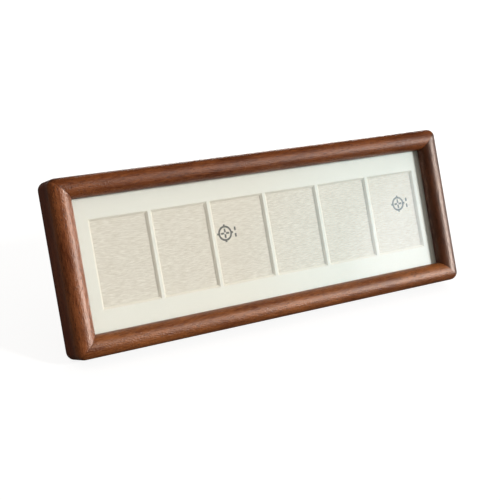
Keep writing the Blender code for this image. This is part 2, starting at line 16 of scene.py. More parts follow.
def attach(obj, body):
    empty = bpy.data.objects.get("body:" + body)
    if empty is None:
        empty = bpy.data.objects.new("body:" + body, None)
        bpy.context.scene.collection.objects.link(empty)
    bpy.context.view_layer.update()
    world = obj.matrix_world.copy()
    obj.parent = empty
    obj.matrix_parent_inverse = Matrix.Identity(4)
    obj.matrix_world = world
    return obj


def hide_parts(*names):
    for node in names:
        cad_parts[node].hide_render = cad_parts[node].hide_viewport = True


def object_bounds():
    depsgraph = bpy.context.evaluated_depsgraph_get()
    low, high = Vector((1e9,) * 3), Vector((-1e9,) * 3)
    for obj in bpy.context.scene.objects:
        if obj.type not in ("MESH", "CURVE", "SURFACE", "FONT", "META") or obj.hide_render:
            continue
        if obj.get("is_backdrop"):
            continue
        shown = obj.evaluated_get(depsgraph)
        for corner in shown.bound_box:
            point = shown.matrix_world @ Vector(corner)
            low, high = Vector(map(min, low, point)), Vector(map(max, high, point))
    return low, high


def in_mm(values, digits=1):
    """Metres as rounded millimetres, for the prints."""
    return [round(value * 1000, digits) for value in values]


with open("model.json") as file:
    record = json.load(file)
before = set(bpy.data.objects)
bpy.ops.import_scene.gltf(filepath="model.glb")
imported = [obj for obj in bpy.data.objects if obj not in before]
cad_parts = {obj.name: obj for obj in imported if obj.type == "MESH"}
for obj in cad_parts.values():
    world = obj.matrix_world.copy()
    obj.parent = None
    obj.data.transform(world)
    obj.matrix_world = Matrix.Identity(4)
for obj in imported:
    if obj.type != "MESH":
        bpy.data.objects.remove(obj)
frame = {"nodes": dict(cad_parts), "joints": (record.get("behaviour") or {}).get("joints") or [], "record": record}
cad_box = [list(corner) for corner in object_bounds()]
print("CAD box, mm:", in_mm(high - low for low, high in zip(*cad_box)))

# %% [markdown]
# ## The maker's upright axes
# A leaning frame is awkward to measure, because each box grows with the lean. The record says which way
# the bottom face points, and that is the lean. Turned out again, the frame stands in the axes a maker
# works in: back flat at y = 0, lower edge at z = 0. Pieces are built there and stood up at the end.

# %% Turn the lean out
bottom_face = next(mount for mount in frame["record"]["mounts"] if mount["name"] == "bottom_face")
LEAN = math.atan2(-bottom_face["axis"][1], -bottom_face["axis"][2])


def box_in(node, axes):
    """Lowest and highest corner of a CAD piece, seen in other axes."""
    points = [axes @ vertex.co for vertex in frame["nodes"][node].data.vertices]
    low = Vector([min(point[i] for point in points) for i in range(3)])
    high = Vector([max(point[i] for point in points) for i in range(3)])
    return low, high


level = Matrix.Rotation(LEAN, 4, "X")
back_plane = box_in("rail_top", level)[1].y
lower_edge = box_in("rail_bottom", level)[0].z
UPRIGHT = Matrix.Translation((0.0, -back_plane, -lower_edge)) @ level
STANDING = UPRIGHT.inverted()
print("lean, degrees:", round(math.degrees(LEAN), 2))

# %% [markdown]
# ## The frame's own sizes
# Everything visible hangs on a few sizes: the outer edges, the moulding's width and depth, and where the
# sheets lie in the rabbet. They are read off the CAD pieces, so the dressing can't drift from the model.

# %% Measure the mouldings and sheets
top_low, top_high = box_in("rail_top", UPRIGHT)
right_high = box_in("stile_right", UPRIGHT)[1]
HALF_WIDTH = right_high.x
HALF_HEIGHT = top_high.z / 2
MOULDING_WIDTH = top_high.z - top_low.z
MOULDING_DEPTH = -top_low.y
MIDDLE = Vector((0.0, 0.0, HALF_HEIGHT))
SHEETS = {}
for sheet_name in ("glass_pane", "mat_board", "insert_card", "filler_board", "backing_board"):
    SHEETS[sheet_name] = box_in(sheet_name, UPRIGHT)
    print(sheet_name, "front and back, mm:", in_mm([corner.y for corner in SHEETS[sheet_name]], 2))
print("moulding, mm:", *in_mm((MOULDING_WIDTH, MOULDING_DEPTH), 2))

# %% [markdown]
# ## The camera
# The photograph was taken from the left, from a little above and with hardly any roll. A camera fitted to
# the window corners and the outline gives the place, the turn and the lens. The sensor is 36 mm wide
# and the picture is square, so no shift is needed.


# %% Stand the camera
def put_in_scene(name, data):
    """A new object for a mesh, a lamp or a camera, linked into the scene."""
    made = bpy.data.objects.new(name, data)
    bpy.context.scene.collection.objects.link(made)
    return made


camera_data = bpy.data.cameras.new("camera")
camera_data.sensor_fit = "HORIZONTAL"
camera_data.sensor_width = 36.0
camera_data.lens = 75.95
camera = put_in_scene("camera", camera_data)
camera.location = (-0.38192, -0.62871, 0.29246)
camera.rotation_euler = [math.radians(angle) for angle in (71.542, -0.251, -30.491)]
bpy.context.scene.camera = camera
bpy.context.scene.view_settings.view_transform = "Standard"
print("distance from camera to frame, m:", round(camera.location.length, 3))

# %% [markdown]
# ## Small tools for node trees
# Materials, the world and the Geometry Nodes below are all node trees. Links written out one by one would
# bury each recipe, so what comes out of a node is held as an outlet. It can be given to the next node, and
# it can be reckoned with like a number, and then each plus or times sign adds a Math node.


# %% What comes out of a node
class Outlet:
    """One output of a node. In square brackets it gives another output of the same node."""

    def __init__(self, tree, node, output=0):
        self.tree = tree
        self.node = node
        self.socket = node.outputs[output] if node.outputs else None

    def __getitem__(self, output):
        return Outlet(self.tree, self.node, output)

    def __add__(self, other):
        return reckon("ADD", self, other)

    def __sub__(self, other):
        return reckon("SUBTRACT", self, other)

    def __rsub__(self, other):
        return reckon("SUBTRACT", other, self)

    def __mul__(self, other):
        return reckon("MULTIPLY", self, other)

    __rmul__ = __mul__

    def __neg__(self):
        return self * -1.0

    def __abs__(self):
        return reckon("ABSOLUTE", self)


# %% Node helpers
def feed(socket, value):
    """Wire an outlet into a socket, or write a plain value on it."""
    if isinstance(value, Outlet):
        value.tree.links.new(value.socket, socket)
    else:
        socket.default_value = value


def fill(outlet, **inputs):
    """Feed inputs of a node by name, with an underscore for each space."""
    for name, value in inputs.items():
        feed(outlet.node.inputs[name.replace("_", " ")], value)


def add_node(tree, kind, *ordered, settings=None, **inputs):
    """Add a node. Its inputs come in order or by name; settings are its own properties."""
    made = Outlet(tree, tree.nodes.new(kind))
    if settings:
        for name, value in settings.items():
            setattr(made.node, name, value)
        made = made[0]
    for socket, value in zip(made.node.inputs, ordered):
        feed(socket, value)
    fill(made, **inputs)
    return made


def reckon(operation, *values):
    """A Math node on up to three values, of which one at least is an outlet."""
    tree = next(value.tree for value in values if isinstance(value, Outlet))
    return add_node(tree, "ShaderNodeMath", *values, settings={"operation": operation})


def ramp(value, start, end, low=0.0, high=1.0, rise="LINEAR"):
    """A ramp from low to high between two values, flat beyond them."""
    made = add_node(value.tree, "ShaderNodeMapRange", settings={"interpolation_type": rise})
    fill(made, Value=value, From_Min=start, From_Max=end, To_Min=low, To_Max=high)
    return made


def blend_colours(share, first, second):
    """Mix two colours. Each may be an outlet or four numbers."""
    made = add_node(share.tree, "ShaderNodeMix", share, settings={"data_type": "RGBA"})
    feed(made.node.inputs[6], first)
    feed(made.node.inputs[7], second)
    return made[2]


def in_parts(vector):
    """The X, Y and Z of a vector."""
    return add_node(vector.tree, "ShaderNodeSeparateXYZ", vector)


# %% [markdown]
# ## Soft studio light
# The light came from the right, about level with the way the leaning frame faces, so no rail shades the
# mat and only the right stile throws a narrow shadow. The key box does that and lights matte surfaces
# alone. The wood shows long highlights from a window higher up and from one low at the right, so two
# gleam boxes stand there that only glossy surfaces mirror, and a small box fills the back. Each box is
# a plain area lamp, since a rectangle gives the soft edge that windows and studio boxes give.


# %% Lamps
LAMP_TINT = (1.0, 0.985, 0.96)
AIMED_AT = Vector((0.0, 0.0, 0.06))


def soft_box(name, azimuth, height, distance, wide, tall, watts, work="both"):
    """A soft box that looks at the middle of the frame, placed by its angles in degrees.
    Its work is to "light" matte surfaces, to "gleam" in glossy ones, or both."""
    data = bpy.data.lights.new(name, "AREA")
    data.shape = "RECTANGLE"
    data.size = wide
    data.size_y = tall
    data.energy = watts
    data.color = LAMP_TINT
    turn = math.radians(azimuth)
    level_way = Vector((math.sin(turn), -math.cos(turn), math.tan(math.radians(height))))
    lamp = put_in_scene(name, data)
    lamp.location = AIMED_AT + level_way * distance
    lamp.rotation_euler = (-level_way).to_track_quat("-Z", "Y").to_euler()
    lamp.visible_diffuse = work != "gleam"
    lamp.visible_glossy = work != "light"
    lamp.visible_transmission = work != "light"
    print(name, "stands at, m:", [round(value, 2) for value in lamp.location])


soft_box("key_box", 29.8, 20.5, 8.0, 1.10, 1.20, 640.0, "light")
soft_box("gleam_high", 35.0, 31.0, 3.0, 0.50, 0.35, 106.0, "gleam")
soft_box("gleam_low", 48.0, 5.0, 3.0, 0.50, 0.40, 185.0, "gleam")
soft_box("back_fill", 149.0, 10.0, 1.5, 0.60, 0.60, 12.0)

# %% [markdown]
# ## The room round it
# The world stands for pale walls: brighter above and in front, and dim where polish mirrors it, so the
# dark side of the wood stays dark. A small cool glow at the right, with a wide faint haze round it that
# only polish mirrors, whitens the glass towards that end. To the camera the room is a white backdrop.
# The room changes with the kind of ray that asks, and only asking ray by ray answers that rightly, so
# Blender is told not to sample the room as if it were one more lamp.


# %% What shows the backdrop
def backdrop_share(tree, mirrored, through=1.0):
    """1 for rays that see the white backdrop: straight from the camera, through glass or mirrored."""
    ray = add_node(tree, "ShaderNodeLightPath")
    direct = reckon("LESS_THAN", ray["Diffuse Depth"], 0.5)
    through_glass = ray["Is Transmission Ray"] * direct * through
    seen = reckon("MAXIMUM", ray["Is Camera Ray"], through_glass)
    return reckon("MAXIMUM", seen, ray["Is Glossy Ray"] * mirrored)


def glow_spot(facing, edge, core, strength):
    """A glow about one way: full within its core and gone at its edge, both in degrees from it."""
    edge_facing = math.cos(math.radians(edge))
    core_facing = math.cos(math.radians(core))
    return ramp(facing, edge_facing, core_facing, 0.0, strength, "SMOOTHSTEP")


# %% The room
WHITE = (1.0, 1.0, 1.0, 1.0)
GLOW_WAY = (0.628, -0.747, 0.219)
MIRRORED_SHARE = 0.15
world = bpy.data.worlds.new("studio_room")
bpy.context.scene.world = world
world.use_nodes = True
world.cycles.sampling_method = "NONE"
room = world.node_tree
room.nodes.clear()
way = add_node(room, "ShaderNodeTexCoord")["Generated"]
parts = in_parts(way)
polish = add_node(room, "ShaderNodeLightPath")["Is Glossy Ray"]
above = reckon("MAXIMUM", parts["Z"], 0.0)
before = reckon("MAXIMUM", -parts["Y"], 0.0)
dome = (above * 0.36 + before * 0.26 + 0.20) * (1.0 - polish * 0.98)
facing = add_node(room, "ShaderNodeVectorMath", way, GLOW_WAY, settings={"operation": "DOT_PRODUCT"})
glow = glow_spot(facing["Value"], 5.5, 1.6, 1.35)
haze = glow_spot(facing["Value"], 11.5, 3.0, 0.95) * polish
dim_room = add_node(room, "ShaderNodeBackground", Color=(1.0, 0.955, 0.89, 1.0), Strength=dome)
cool_glow = add_node(room, "ShaderNodeBackground", Color=(0.95, 0.88, 1.0, 1.0), Strength=glow)
cool_haze = add_node(room, "ShaderNodeBackground", Color=(0.05, 0.75, 1.1, 1.0), Strength=haze)
both_glows = add_node(room, "ShaderNodeAddShader", cool_glow, cool_haze)
lit_room = add_node(room, "ShaderNodeAddShader", dim_room, both_glows)
backdrop = add_node(room, "ShaderNodeBackground", Color=WHITE, Strength=1.0)
behind = reckon("MAXIMUM", parts["Y"], 0.0) * MIRRORED_SHARE * ramp(parts["X"], -0.25, 0.05)
shown = backdrop_share(room, behind, reckon("GREATER_THAN", parts["Y"], 0.0))
shown = add_node(room, "ShaderNodeMixShader", shown, lit_room, backdrop)
add_node(room, "ShaderNodeOutputWorld", Surface=shown)
print("room nodes:", len(room.nodes))

# %% [markdown]
# ## The floor
# A plain pale sheet lies under the frame. To the camera it glows nearly white by itself, fully so further
# away, and takes only a little of the light, so the frame's soft shadow stays on it. To the wood it is a
# dim grey, or its light would wash out the dark underside of the mouldings. Only the patch behind
# the frame is mirrored pale, because the metal of the back has to show something bright.


# %% Lay the floor
FLOOR_RADIUS = 9.0


def circle(radius, steps):
    """Points once round a circle."""
    turns = [math.tau * i / steps for i in range(steps)]
    return [(radius * math.cos(turn), radius * math.sin(turn)) for turn in turns]


floor_mesh = bpy.data.meshes.new("floor")
rim = [(x, y, 0.0) for x, y in circle(FLOOR_RADIUS, 64)]
floor_mesh.from_pydata(rim, [], [list(range(len(rim)))])
floor = put_in_scene("floor", floor_mesh)
pale_sheet = bpy.data.materials.new("pale_floor_sheet")
pale_sheet.use_nodes = True
sheet_tree = pale_sheet.node_tree
sheet_tree.nodes.clear()
spot = add_node(sheet_tree, "ShaderNodeTexCoord")["Object"]
away = add_node(sheet_tree, "ShaderNodeVectorMath", spot, settings={"operation": "LENGTH"})["Value"]
matte = add_node(sheet_tree, "ShaderNodeBsdfDiffuse", Color=(0.10, 0.10, 0.10, 1.0))
shadowed = add_node(sheet_tree, "ShaderNodeBsdfDiffuse", Color=(0.24, 0.24, 0.24, 1.0))
own_glow = ramp(away, 0.25, 1.1, 0.84, 1.0)
own_white = add_node(sheet_tree, "ShaderNodeEmission", Color=WHITE, Strength=own_glow)
to_camera = add_node(sheet_tree, "ShaderNodeAddShader", shadowed, own_white)
parts = in_parts(spot)
pale = ramp(parts["X"], -0.15, -0.09) * ramp(parts["Y"], 0.0, 0.05) * 0.83 + 0.02
shown = backdrop_share(sheet_tree, pale)
shown = add_node(sheet_tree, "ShaderNodeMixShader", shown, matte, to_camera)
add_node(sheet_tree, "ShaderNodeOutputMaterial", Surface=shown)
floor_mesh.materials.append(pale_sheet)
floor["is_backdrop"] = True
print("floor radius, m:", FLOOR_RADIUS)

# %% [markdown]
# ## Stained hardwood
# The wood is fine, straight-grained and reddish, with short dark pores, under a satin lacquer. A solid
# pattern suits it better than one wrapped round: a moulding is cut from a board, so the grain runs
# through it and shows long streaks on its flanks. Object coordinates give that, once the lean is turned
# out and each stick is stretched along its own length. Each of the four sticks is cut from another place
# in the board and takes the stain its own way, as on the real frame. The top rail is also painted darker,
# partly its own tone and partly painted shade, and the right stile much darker, as painted shade. The
# outer side is rubbed less smooth than the round front, and its deeper red is painted shade.


# %% Shader helpers
def new_finish(name):
    """A material, and its Principled shader as an outlet."""
    finish = bpy.data.materials.new(name)
    finish.use_nodes = True
    return finish, Outlet(finish.node_tree, finish.node_tree.nodes["Principled BSDF"])


def cut_out_of(tree, along, shift=(0.0, 0.0, 0.0)):
    """Object coordinates with the lean turned out and the piece's long way brought to X."""
    spot = add_node(tree, "ShaderNodeTexCoord")["Object"]
    flat = add_node(tree, "ShaderNodeMapping", spot, Rotation=(LEAN, 0.0, 0.0), Location=shift)
    if along == "X":
        return flat
    return add_node(tree, "ShaderNodeMapping", flat, Rotation=(0.0, math.pi / 2, 0.0))


def drawn_out(place, length, width):
    """A place scaled so that one step is a length along X and a width the other ways, in metres."""
    scale = (1.0 / length, 1.0 / width, 1.0 / width)
    return add_node(place.tree, "ShaderNodeMapping", place, Scale=scale)


def streaks(place, length, width, detail=2.0, distortion=0.0):
    """Noise drawn out along X: length and width are the size of one streak."""
    noise = add_node(place.tree, "ShaderNodeTexNoise", Vector=drawn_out(place, length, width), Scale=1.0)
    fill(noise, Detail=detail, Distortion=distortion)
    return noise["Fac"]


def pore_marks(place, length, width, size):
    """Short dashes, 1 in a pore and 0 between them."""
    cells = add_node(place.tree, "ShaderNodeTexVoronoi", Vector=drawn_out(place, length, width), Scale=1.0)
    return ramp(cells["Distance"], size, size * 0.45)


def emboss(shader, relief, strength, depth):
    """A fine relief that only the light shows."""
    bump = add_node(shader.tree, "ShaderNodeBump", Height=relief, Strength=strength, Distance=depth)
    fill(shader, Normal=bump)


# %% The stain
RAW_DARK = (0.20, 0.095, 0.042, 1.0)
RAW_LIGHT = (0.37, 0.205, 0.105, 1.0)
RAW_PORE = (0.10, 0.045, 0.02, 1.0)
PORE_BROWN = (0.030, 0.009, 0.004, 1.0)
JOINT_BROWN = (0.030, 0.010, 0.005, 1.0)
# The deeper red of the outer side is painted shade.
PAINTED_SIDE_SHADE = (0.125, 0.008, 0.001, 1.0)
FRONT_ENDS = -0.0190
SIDE_BEGINS = -0.0130


def joint_line(spot):
    """1 on the mitre lines and 0 away from them, weaker where the corner is sanded round."""
    from_side = HALF_WIDTH - abs(spot["X"])
    from_edge = HALF_HEIGHT - abs(spot["Z"] - HALF_HEIGHT)
    line = ramp(abs(from_side - from_edge), 0.00012, 0.00045, 1.0, 0.0)
    return line * ramp(from_side, 0.0045, 0.0090, 0.15, 1.0)


def stained_wood_with_painted_shade(name, along, shift, gloss, dark, light):
    """Stained and lacquered hardwood for one stick, raw on its back, with painted shade on its outer side."""
    finish, shader = new_finish(name)
    tree = shader.tree
    place = cut_out_of(tree, along, shift)
    patches = streaks(place, 0.034, 0.011, detail=1.0)
    figure = streaks(place, 0.020, 0.0022, detail=2.0, distortion=0.7)
    fibre = streaks(place, 0.0050, 0.00080, detail=3.0)
    hair = streaks(place, 0.0013, 0.00090, detail=1.0)
    pores = pore_marks(place, 0.0042, 0.00130, 0.30) * ramp(patches, 0.35, 0.60, 0.15, 1.0)
    upright = add_node(tree, "ShaderNodeMapping", add_node(tree, "ShaderNodeTexCoord")["Object"])
    fill(upright, Rotation=(LEAN, 0.0, 0.0), Location=UPRIGHT.translation)
    spot = in_parts(upright)
    # The outer side: rougher, with less relief, and carrying the painted shade below.
    side = ramp(spot["Y"], FRONT_ENDS, SIDE_BEGINS)
    raw = ramp(figure * 0.0012 + spot["Y"], -0.0001, 0.0004)
    tone = ramp(patches * 1.6 + figure + fibre * 2.0 - 1.80, 0.0, 1.0)
    colour = blend_colours(tone, dark, light)
    colour = blend_colours(pores * 0.75, colour, PORE_BROWN)
    colour = blend_colours(joint_line(spot) * 0.50, colour, JOINT_BROWN)
    # Painted shade: the outer side, which lies in shade, is painted a deeper red.
    colour = blend_colours(side * 0.42, colour, PAINTED_SIDE_SHADE)
    raw_colour = blend_colours(tone, RAW_DARK, RAW_LIGHT)
    raw_colour = blend_colours(pores * 0.5, raw_colour, RAW_PORE)
    rough = fibre * 0.24 + pores * 0.22 + side * 0.16 + raw * 0.35 + 0.28
    fill(shader, Base_Color=blend_colours(raw, colour, raw_colour), Roughness=rough, IOR=1.45)
    fill(shader, Specular_IOR_Level=gloss, Specular_Tint=(1.0, 0.80, 0.70, 1.0))
    emboss(shader, (fibre * 0.8 - pores * 0.5 + hair * 2.6) * (1.0 - side * 0.7), 1.0, 0.00012)
    return finish


# %% Stain the four sticks
# The top rail is painted darker than the bottom rail: partly its own tone, partly painted shade.
STICK_LOOK = {
    "rail_top": ("X", (0.0, 0.0, 0.0), 0.20, (0.070, 0.015, 0.003, 1.0), (0.185, 0.052, 0.013, 1.0)),
    "rail_bottom": ("X", (0.7, 0.3, 0.1), 0.34, (0.105, 0.025, 0.005, 1.0), (0.255, 0.082, 0.021, 1.0)),
    "stile_left": ("Z", (0.2, 0.9, 0.4), 0.55, (0.110, 0.024, 0.005, 1.0), (0.265, 0.080, 0.023, 1.0)),
    # The right stile is painted much darker than the left one: painted shade for its shaded inner face.
    "stile_right": ("Z", (0.5, 0.2, 1.3), 0.62, (0.036, 0.008, 0.002, 1.0), (0.100, 0.028, 0.008, 1.0)),
}
STICK_WOOD = {}
for stick_name, look in STICK_LOOK.items():
    STICK_WOOD[stick_name] = stained_wood_with_painted_shade("hardwood_" + stick_name, *look)
print("woods:", sorted(STICK_WOOD))

# %% [markdown]
# ## Geometry Nodes workbench
# A moulding, a row of windows and a set of screws each follow a rule, so Geometry Nodes make them. Each
# tree gets named inputs for its sizes. The bench below starts a tree, runs it on a small starting mesh and
# freezes the result, because only a plain mesh can ride on a body and be exported.


# %% Start, end and run a tree
def start_tree(name, inputs):
    """An empty Geometry Nodes tree with named inputs, as (socket type, name)."""
    tree = bpy.data.node_groups.new(name, "GeometryNodeTree")
    for kind, label in [("Geometry", "Geometry")] + inputs:
        tree.interface.new_socket(label, in_out="INPUT", socket_type="NodeSocket" + kind)
    tree.interface.new_socket("Geometry", in_out="OUTPUT", socket_type="NodeSocketGeometry")
    return tree, add_node(tree, "NodeGroupInput")


def end_tree(geometry, finish, chosen=None, chosen_finish=None):
    """Every tree ends by making its copies real and giving them their finish. Chosen faces may
    take another one."""
    tree = geometry.tree
    real = add_node(tree, "GeometryNodeRealizeInstances", geometry)
    dressed = add_node(tree, "GeometryNodeSetMaterial", Geometry=real, Material=finish)
    if chosen:
        dressed = add_node(tree, "GeometryNodeSetMaterial", Geometry=dressed, Material=chosen_finish)
        fill(dressed, Selection=chosen)
    add_node(tree, "NodeGroupOutput", dressed)
    print("tree", tree.name, "has", len(tree.nodes), "nodes")


def run_tree(tree, start, values):
    """Run a tree on a starting mesh and return the frozen mesh."""
    carrier = put_in_scene("carrier", start)
    modifier = carrier.modifiers.new("nodes", "NODES")
    modifier.node_group = tree
    for socket in tree.interface.items_tree:
        if socket.in_out == "INPUT" and socket.name in values:
            modifier[socket.identifier] = values[socket.name]
    evaluated = carrier.evaluated_get(bpy.context.evaluated_depsgraph_get())
    frozen = bpy.data.meshes.new_from_object(evaluated)
    carrier.modifiers.remove(modifier)
    bpy.data.objects.remove(carrier)
    return frozen


# %% Steps that several trees share
def cut_away(block, cutter):
    """Take one solid out of another."""
    cut = add_node(block.tree, "GeometryNodeMeshBoolean", settings={"operation": "DIFFERENCE"})
    fill(cut, Mesh_1=block, Mesh_2=cutter)
    return cut


def welded_to_itself(bar, turn):
    """A bar welded to a copy of it that is turned about Y."""
    other = add_node(bar.tree, "GeometryNodeTransform", Geometry=bar, Rotation=(0.0, turn, 0.0))
    weld = add_node(bar.tree, "GeometryNodeMeshBoolean", settings={"operation": "UNION"})
    for part in (bar, other):
        fill(weld, Mesh_2=part)
    return weld


def row_of(pattern, count, pitch, first):
    """Copies of a pattern in a row along X."""
    tree = pattern.tree
    step = add_node(tree, "ShaderNodeCombineXYZ", X=pitch)
    row = add_node(tree, "GeometryNodeMeshLine", Count=count, Offset=step, Start_Location=first)
    return add_node(tree, "GeometryNodeInstanceOnPoints", Points=row, Instance=pattern)


def turned_copies(points, pattern, more=0.0):
    """A copy of a pattern on each point, turned about Y as the point's own attribute says."""
    tree = points.tree
    own_turn = add_node(tree, "GeometryNodeInputNamedAttribute", settings={"data_type": "FLOAT"})
    fill(own_turn, Name="turn")
    turned = add_node(tree, "ShaderNodeCombineXYZ", Y=own_turn["Attribute"] + more)
    return add_node(tree, "GeometryNodeInstanceOnPoints", Points=points, Instance=pattern, Rotation=turned)


def turned_points(places):
    """A mesh of points that hold their turn about Y, from (x, y, z, turn)."""
    points = bpy.data.meshes.new("places")
    points.from_pydata([place[:3] for place in places], [], [])
    turns = points.attributes.new("turn", "FLOAT", "POINT")
    turns.data.foreach_set("value", [place[3] for place in places])
    return points


# %% Hand a piece over
def finish_piece(mesh, name, axes, body, nodes, angle=30.0):
    """Stand a finished mesh up, smooth it, and let it take over from its CAD pieces."""
    shape = bmesh.new()
    shape.from_mesh(mesh)
    bmesh.ops.remove_doubles(shape, verts=shape.verts, dist=1e-7)
    bmesh.ops.transform(shape, matrix=axes, verts=shape.verts)
    bmesh.ops.recalc_face_normals(shape, faces=shape.faces)
    shape.to_mesh(mesh)
    shape.free()
    mesh.name = name
    mesh.shade_smooth()
    mesh.set_sharp_from_angle(angle=math.radians(angle))
    piece = put_in_scene(name, mesh)
    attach(piece, body)
    if nodes:
        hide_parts(*nodes)
    print(name, "has", len(mesh.polygons), "faces")


# %% [markdown]
# ## The moulding
# The real moulding is one stick with a half-round front, a straight outer side, a lip over the glass and a
# rabbet behind it. It could be a bevelled box, but then its section would be wrong. So the section is
# drawn once as a closed line, with soft arrises as sandpaper leaves them.


# %% Draw the section
LIP_WALL = 0.0025
BACK_FACE = 0.0095
CORNER_RADIUS = 0.006
BACK_ARRIS = 0.0005
LIP_ARRIS = 0.0003


def quarter_round(corner, radius, start, steps=4):
    """Points of a rounded corner, from the angle start in degrees, once through 90 degrees."""
    angles = [math.radians(start + 90.0 * i / steps) for i in range(steps + 1)]
    return [(corner[0] + radius * math.cos(a), corner[1] + radius * math.sin(a)) for a in angles]


def moulding_section():
    """The moulding's outline as (distance in from the outer side, y), once round."""
    radius = MOULDING_WIDTH / 2
    spring = radius - MOULDING_DEPTH
    rabbet = spring + LIP_WALL
    line = quarter_round((BACK_ARRIS, -BACK_ARRIS), BACK_ARRIS, 90.0)
    line += [(0.0, y) for y in (-0.006, -0.012)]
    turns = [math.pi * i / 80 for i in range(81)]
    line += [(radius * (1 - math.cos(turn)), spring - radius * math.sin(turn)) for turn in turns]
    line += quarter_round((MOULDING_WIDTH - LIP_ARRIS, rabbet - LIP_ARRIS), LIP_ARRIS, 0.0)
    line += [(BACK_FACE, rabbet), (BACK_FACE, -0.0003)]
    line += [(BACK_FACE - 0.0001, -0.0001), (BACK_FACE - 0.0003, 0.0), (CORNER_RADIUS, 0.0)]
    return line


section = moulding_section()
print("section points:", len(section))

# %% [markdown]
# ## Sweep and mitre
# A joiner runs the stick and saws both ends at 45 degrees, then rounds the outer corners of the glued
# frame. The tree does the same by rule: it sweeps the section along a line, and then moves each point.
# The middle half of the line becomes the straight length, and the two quarters at its ends fan
# through 45 degrees, so that two neighbours share one rounded corner and meet in the mitre.

# %% The mitre tree
mitre_tree, given = start_tree("mitred_stick", [
    ("Float", "Half length"), ("Float", "Half across"), ("Float", "Corner radius"),
    ("Float", "Joint gap"), ("Int", "Steps"), ("Material", "Finish")])
run_line = add_node(mitre_tree, "GeometryNodeCurvePrimitiveLine", Start=(-1, 0, 0), End=(1, 0, 0))
run_line = add_node(mitre_tree, "GeometryNodeResampleCurve", Curve=run_line, Count=given["Steps"])
outline = add_node(mitre_tree, "GeometryNodeMeshToCurve", Mesh=given["Geometry"])
stick = add_node(mitre_tree, "GeometryNodeCurveToMesh", run_line, outline, Fill_Caps=True)
spot = in_parts(add_node(mitre_tree, "GeometryNodeInputPosition"))
along, inward, deep = spot["X"], spot["Y"], spot["Z"]
reach = abs(along)
straight = reckon("MINIMUM", reach * 2.0, 1.0)
fan = reckon("MAXIMUM", reach - 0.5, 0.0) * (math.pi / 2)
arm = reckon("MAXIMUM", given["Corner radius"] - inward, 0.0)
start = reckon("MAXIMUM", given["Corner radius"], inward)
length = (given["Half length"] - given["Joint gap"] - start) * straight + arm * reckon("SINE", fan)
length = length * reckon("SIGN", along)
across = given["Half across"] - start + arm * reckon("COSINE", fan)
placed = add_node(mitre_tree, "ShaderNodeCombineXYZ", length, deep, across)
mitred = add_node(mitre_tree, "GeometryNodeSetPosition", Geometry=stick, Position=placed)
end_tree(mitred, given["Finish"])

# %% [markdown]
# ## V-nails
# A V-nail is a short angled strip of steel pressed across each mitre from the back, so only its thin edge
# shows. The tree welds two plates into the angle and sets one in each corner, a quarter turn further each
# time. The same tree, with a little spare, makes the cutter for the slit it leaves in the wood.

# %% The angle tree
nail_tree, given = start_tree("corner_angles", [
    ("Vector", "Wing"), ("Vector", "Set"), ("Material", "Finish")])
wing = add_node(nail_tree, "GeometryNodeMeshCube", Size=given["Wing"])
wing = add_node(nail_tree, "GeometryNodeTransform", Geometry=wing, Translation=given["Set"])
nails = turned_copies(given["Geometry"], welded_to_itself(wing, -math.pi / 2))
end_tree(nails, given["Finish"])

# %% Press the V-nails
NAIL_WING = 0.0045
NAIL_STEEL = 0.0005
CORNERS = {"top_left": (-1, 1, -0.5), "top_right": (1, 1, 0.0)}
CORNERS.update({"bottom_left": (-1, -1, 1.0), "bottom_right": (1, -1, 0.5)})


def corner_angles(spare, front, back, finish):
    """An angle in each corner, between two depths, larger by a spare on every side."""
    inset = BACK_FACE / 2
    places = []
    for x, z, turn in CORNERS.values():
        corner = (x * (HALF_WIDTH - inset), 0.0, HALF_HEIGHT + z * (HALF_HEIGHT - inset))
        places.append((*corner, math.pi * turn))
    long = NAIL_WING + NAIL_STEEL / 2 + 2 * spare
    wide = NAIL_STEEL + 2 * spare
    offset = (NAIL_STEEL / 2 + spare - long / 2, (front + back) / 2, 0.0)
    sizes = {"Wing": (long, back - front, wide), "Set": offset, "Finish": finish}
    return run_tree(nail_tree, turned_points(places), sizes)


# %% The slit tree
slit_tree, given = start_tree("slit_sticks", [("Object", "Cutter"), ("Material", "Finish")])
cutter = add_node(slit_tree, "GeometryNodeObjectInfo", Object=given["Cutter"])
end_tree(cut_away(given["Geometry"], cutter["Geometry"]), given["Finish"])

# %% Cut the four sticks
JOINT_GAP = 0.00002
SLIT_SPARE = 0.0001
SLIT_FLOOR = -0.0085
section_mesh = bpy.data.meshes.new("section")
ring = [(-inward, -y, 0.0) for inward, y in section]
section_mesh.from_pydata(ring, [(i, (i + 1) % len(ring)) for i in range(len(ring))], [])
STICKS = {
    "rail_top": (0.0, HALF_WIDTH, HALF_HEIGHT),
    "rail_bottom": (math.pi, HALF_WIDTH, HALF_HEIGHT),
    "stile_left": (-math.pi / 2, HALF_HEIGHT, HALF_WIDTH),
    "stile_right": (math.pi / 2, HALF_HEIGHT, HALF_WIDTH),
}
slit_mesh = corner_angles(SLIT_SPARE, SLIT_FLOOR, 0.0010, STICK_WOOD["rail_top"])
slit = put_in_scene("slit", slit_mesh)
for stick_name, (turn, half_length, half_across) in STICKS.items():
    sizes = {"Half length": half_length, "Half across": half_across, "Corner radius": CORNER_RADIUS}
    sizes.update({"Joint gap": JOINT_GAP, "Steps": 41, "Finish": STICK_WOOD[stick_name]})
    sawn = run_tree(mitre_tree, section_mesh, sizes)
    sawn.transform(Matrix.Translation(MIDDLE) @ Matrix.Rotation(turn, 4, "Y"))
    sawn = run_tree(slit_tree, sawn, {"Cutter": slit, "Finish": STICK_WOOD[stick_name]})
    finish_piece(sawn, stick_name + "_moulding", STANDING, "frame", [stick_name])
bpy.data.objects.remove(slit)

# %% [markdown]
# ## Glass
# The pane is clear picture glass. Real glass bends light, but a lamp's light would then reach the mat only
# by luck and leave it noisy. So the pane lets lamp rays and the paper's own light straight through, and is
# glass to every other ray, which keeps its faint green and its reflections.

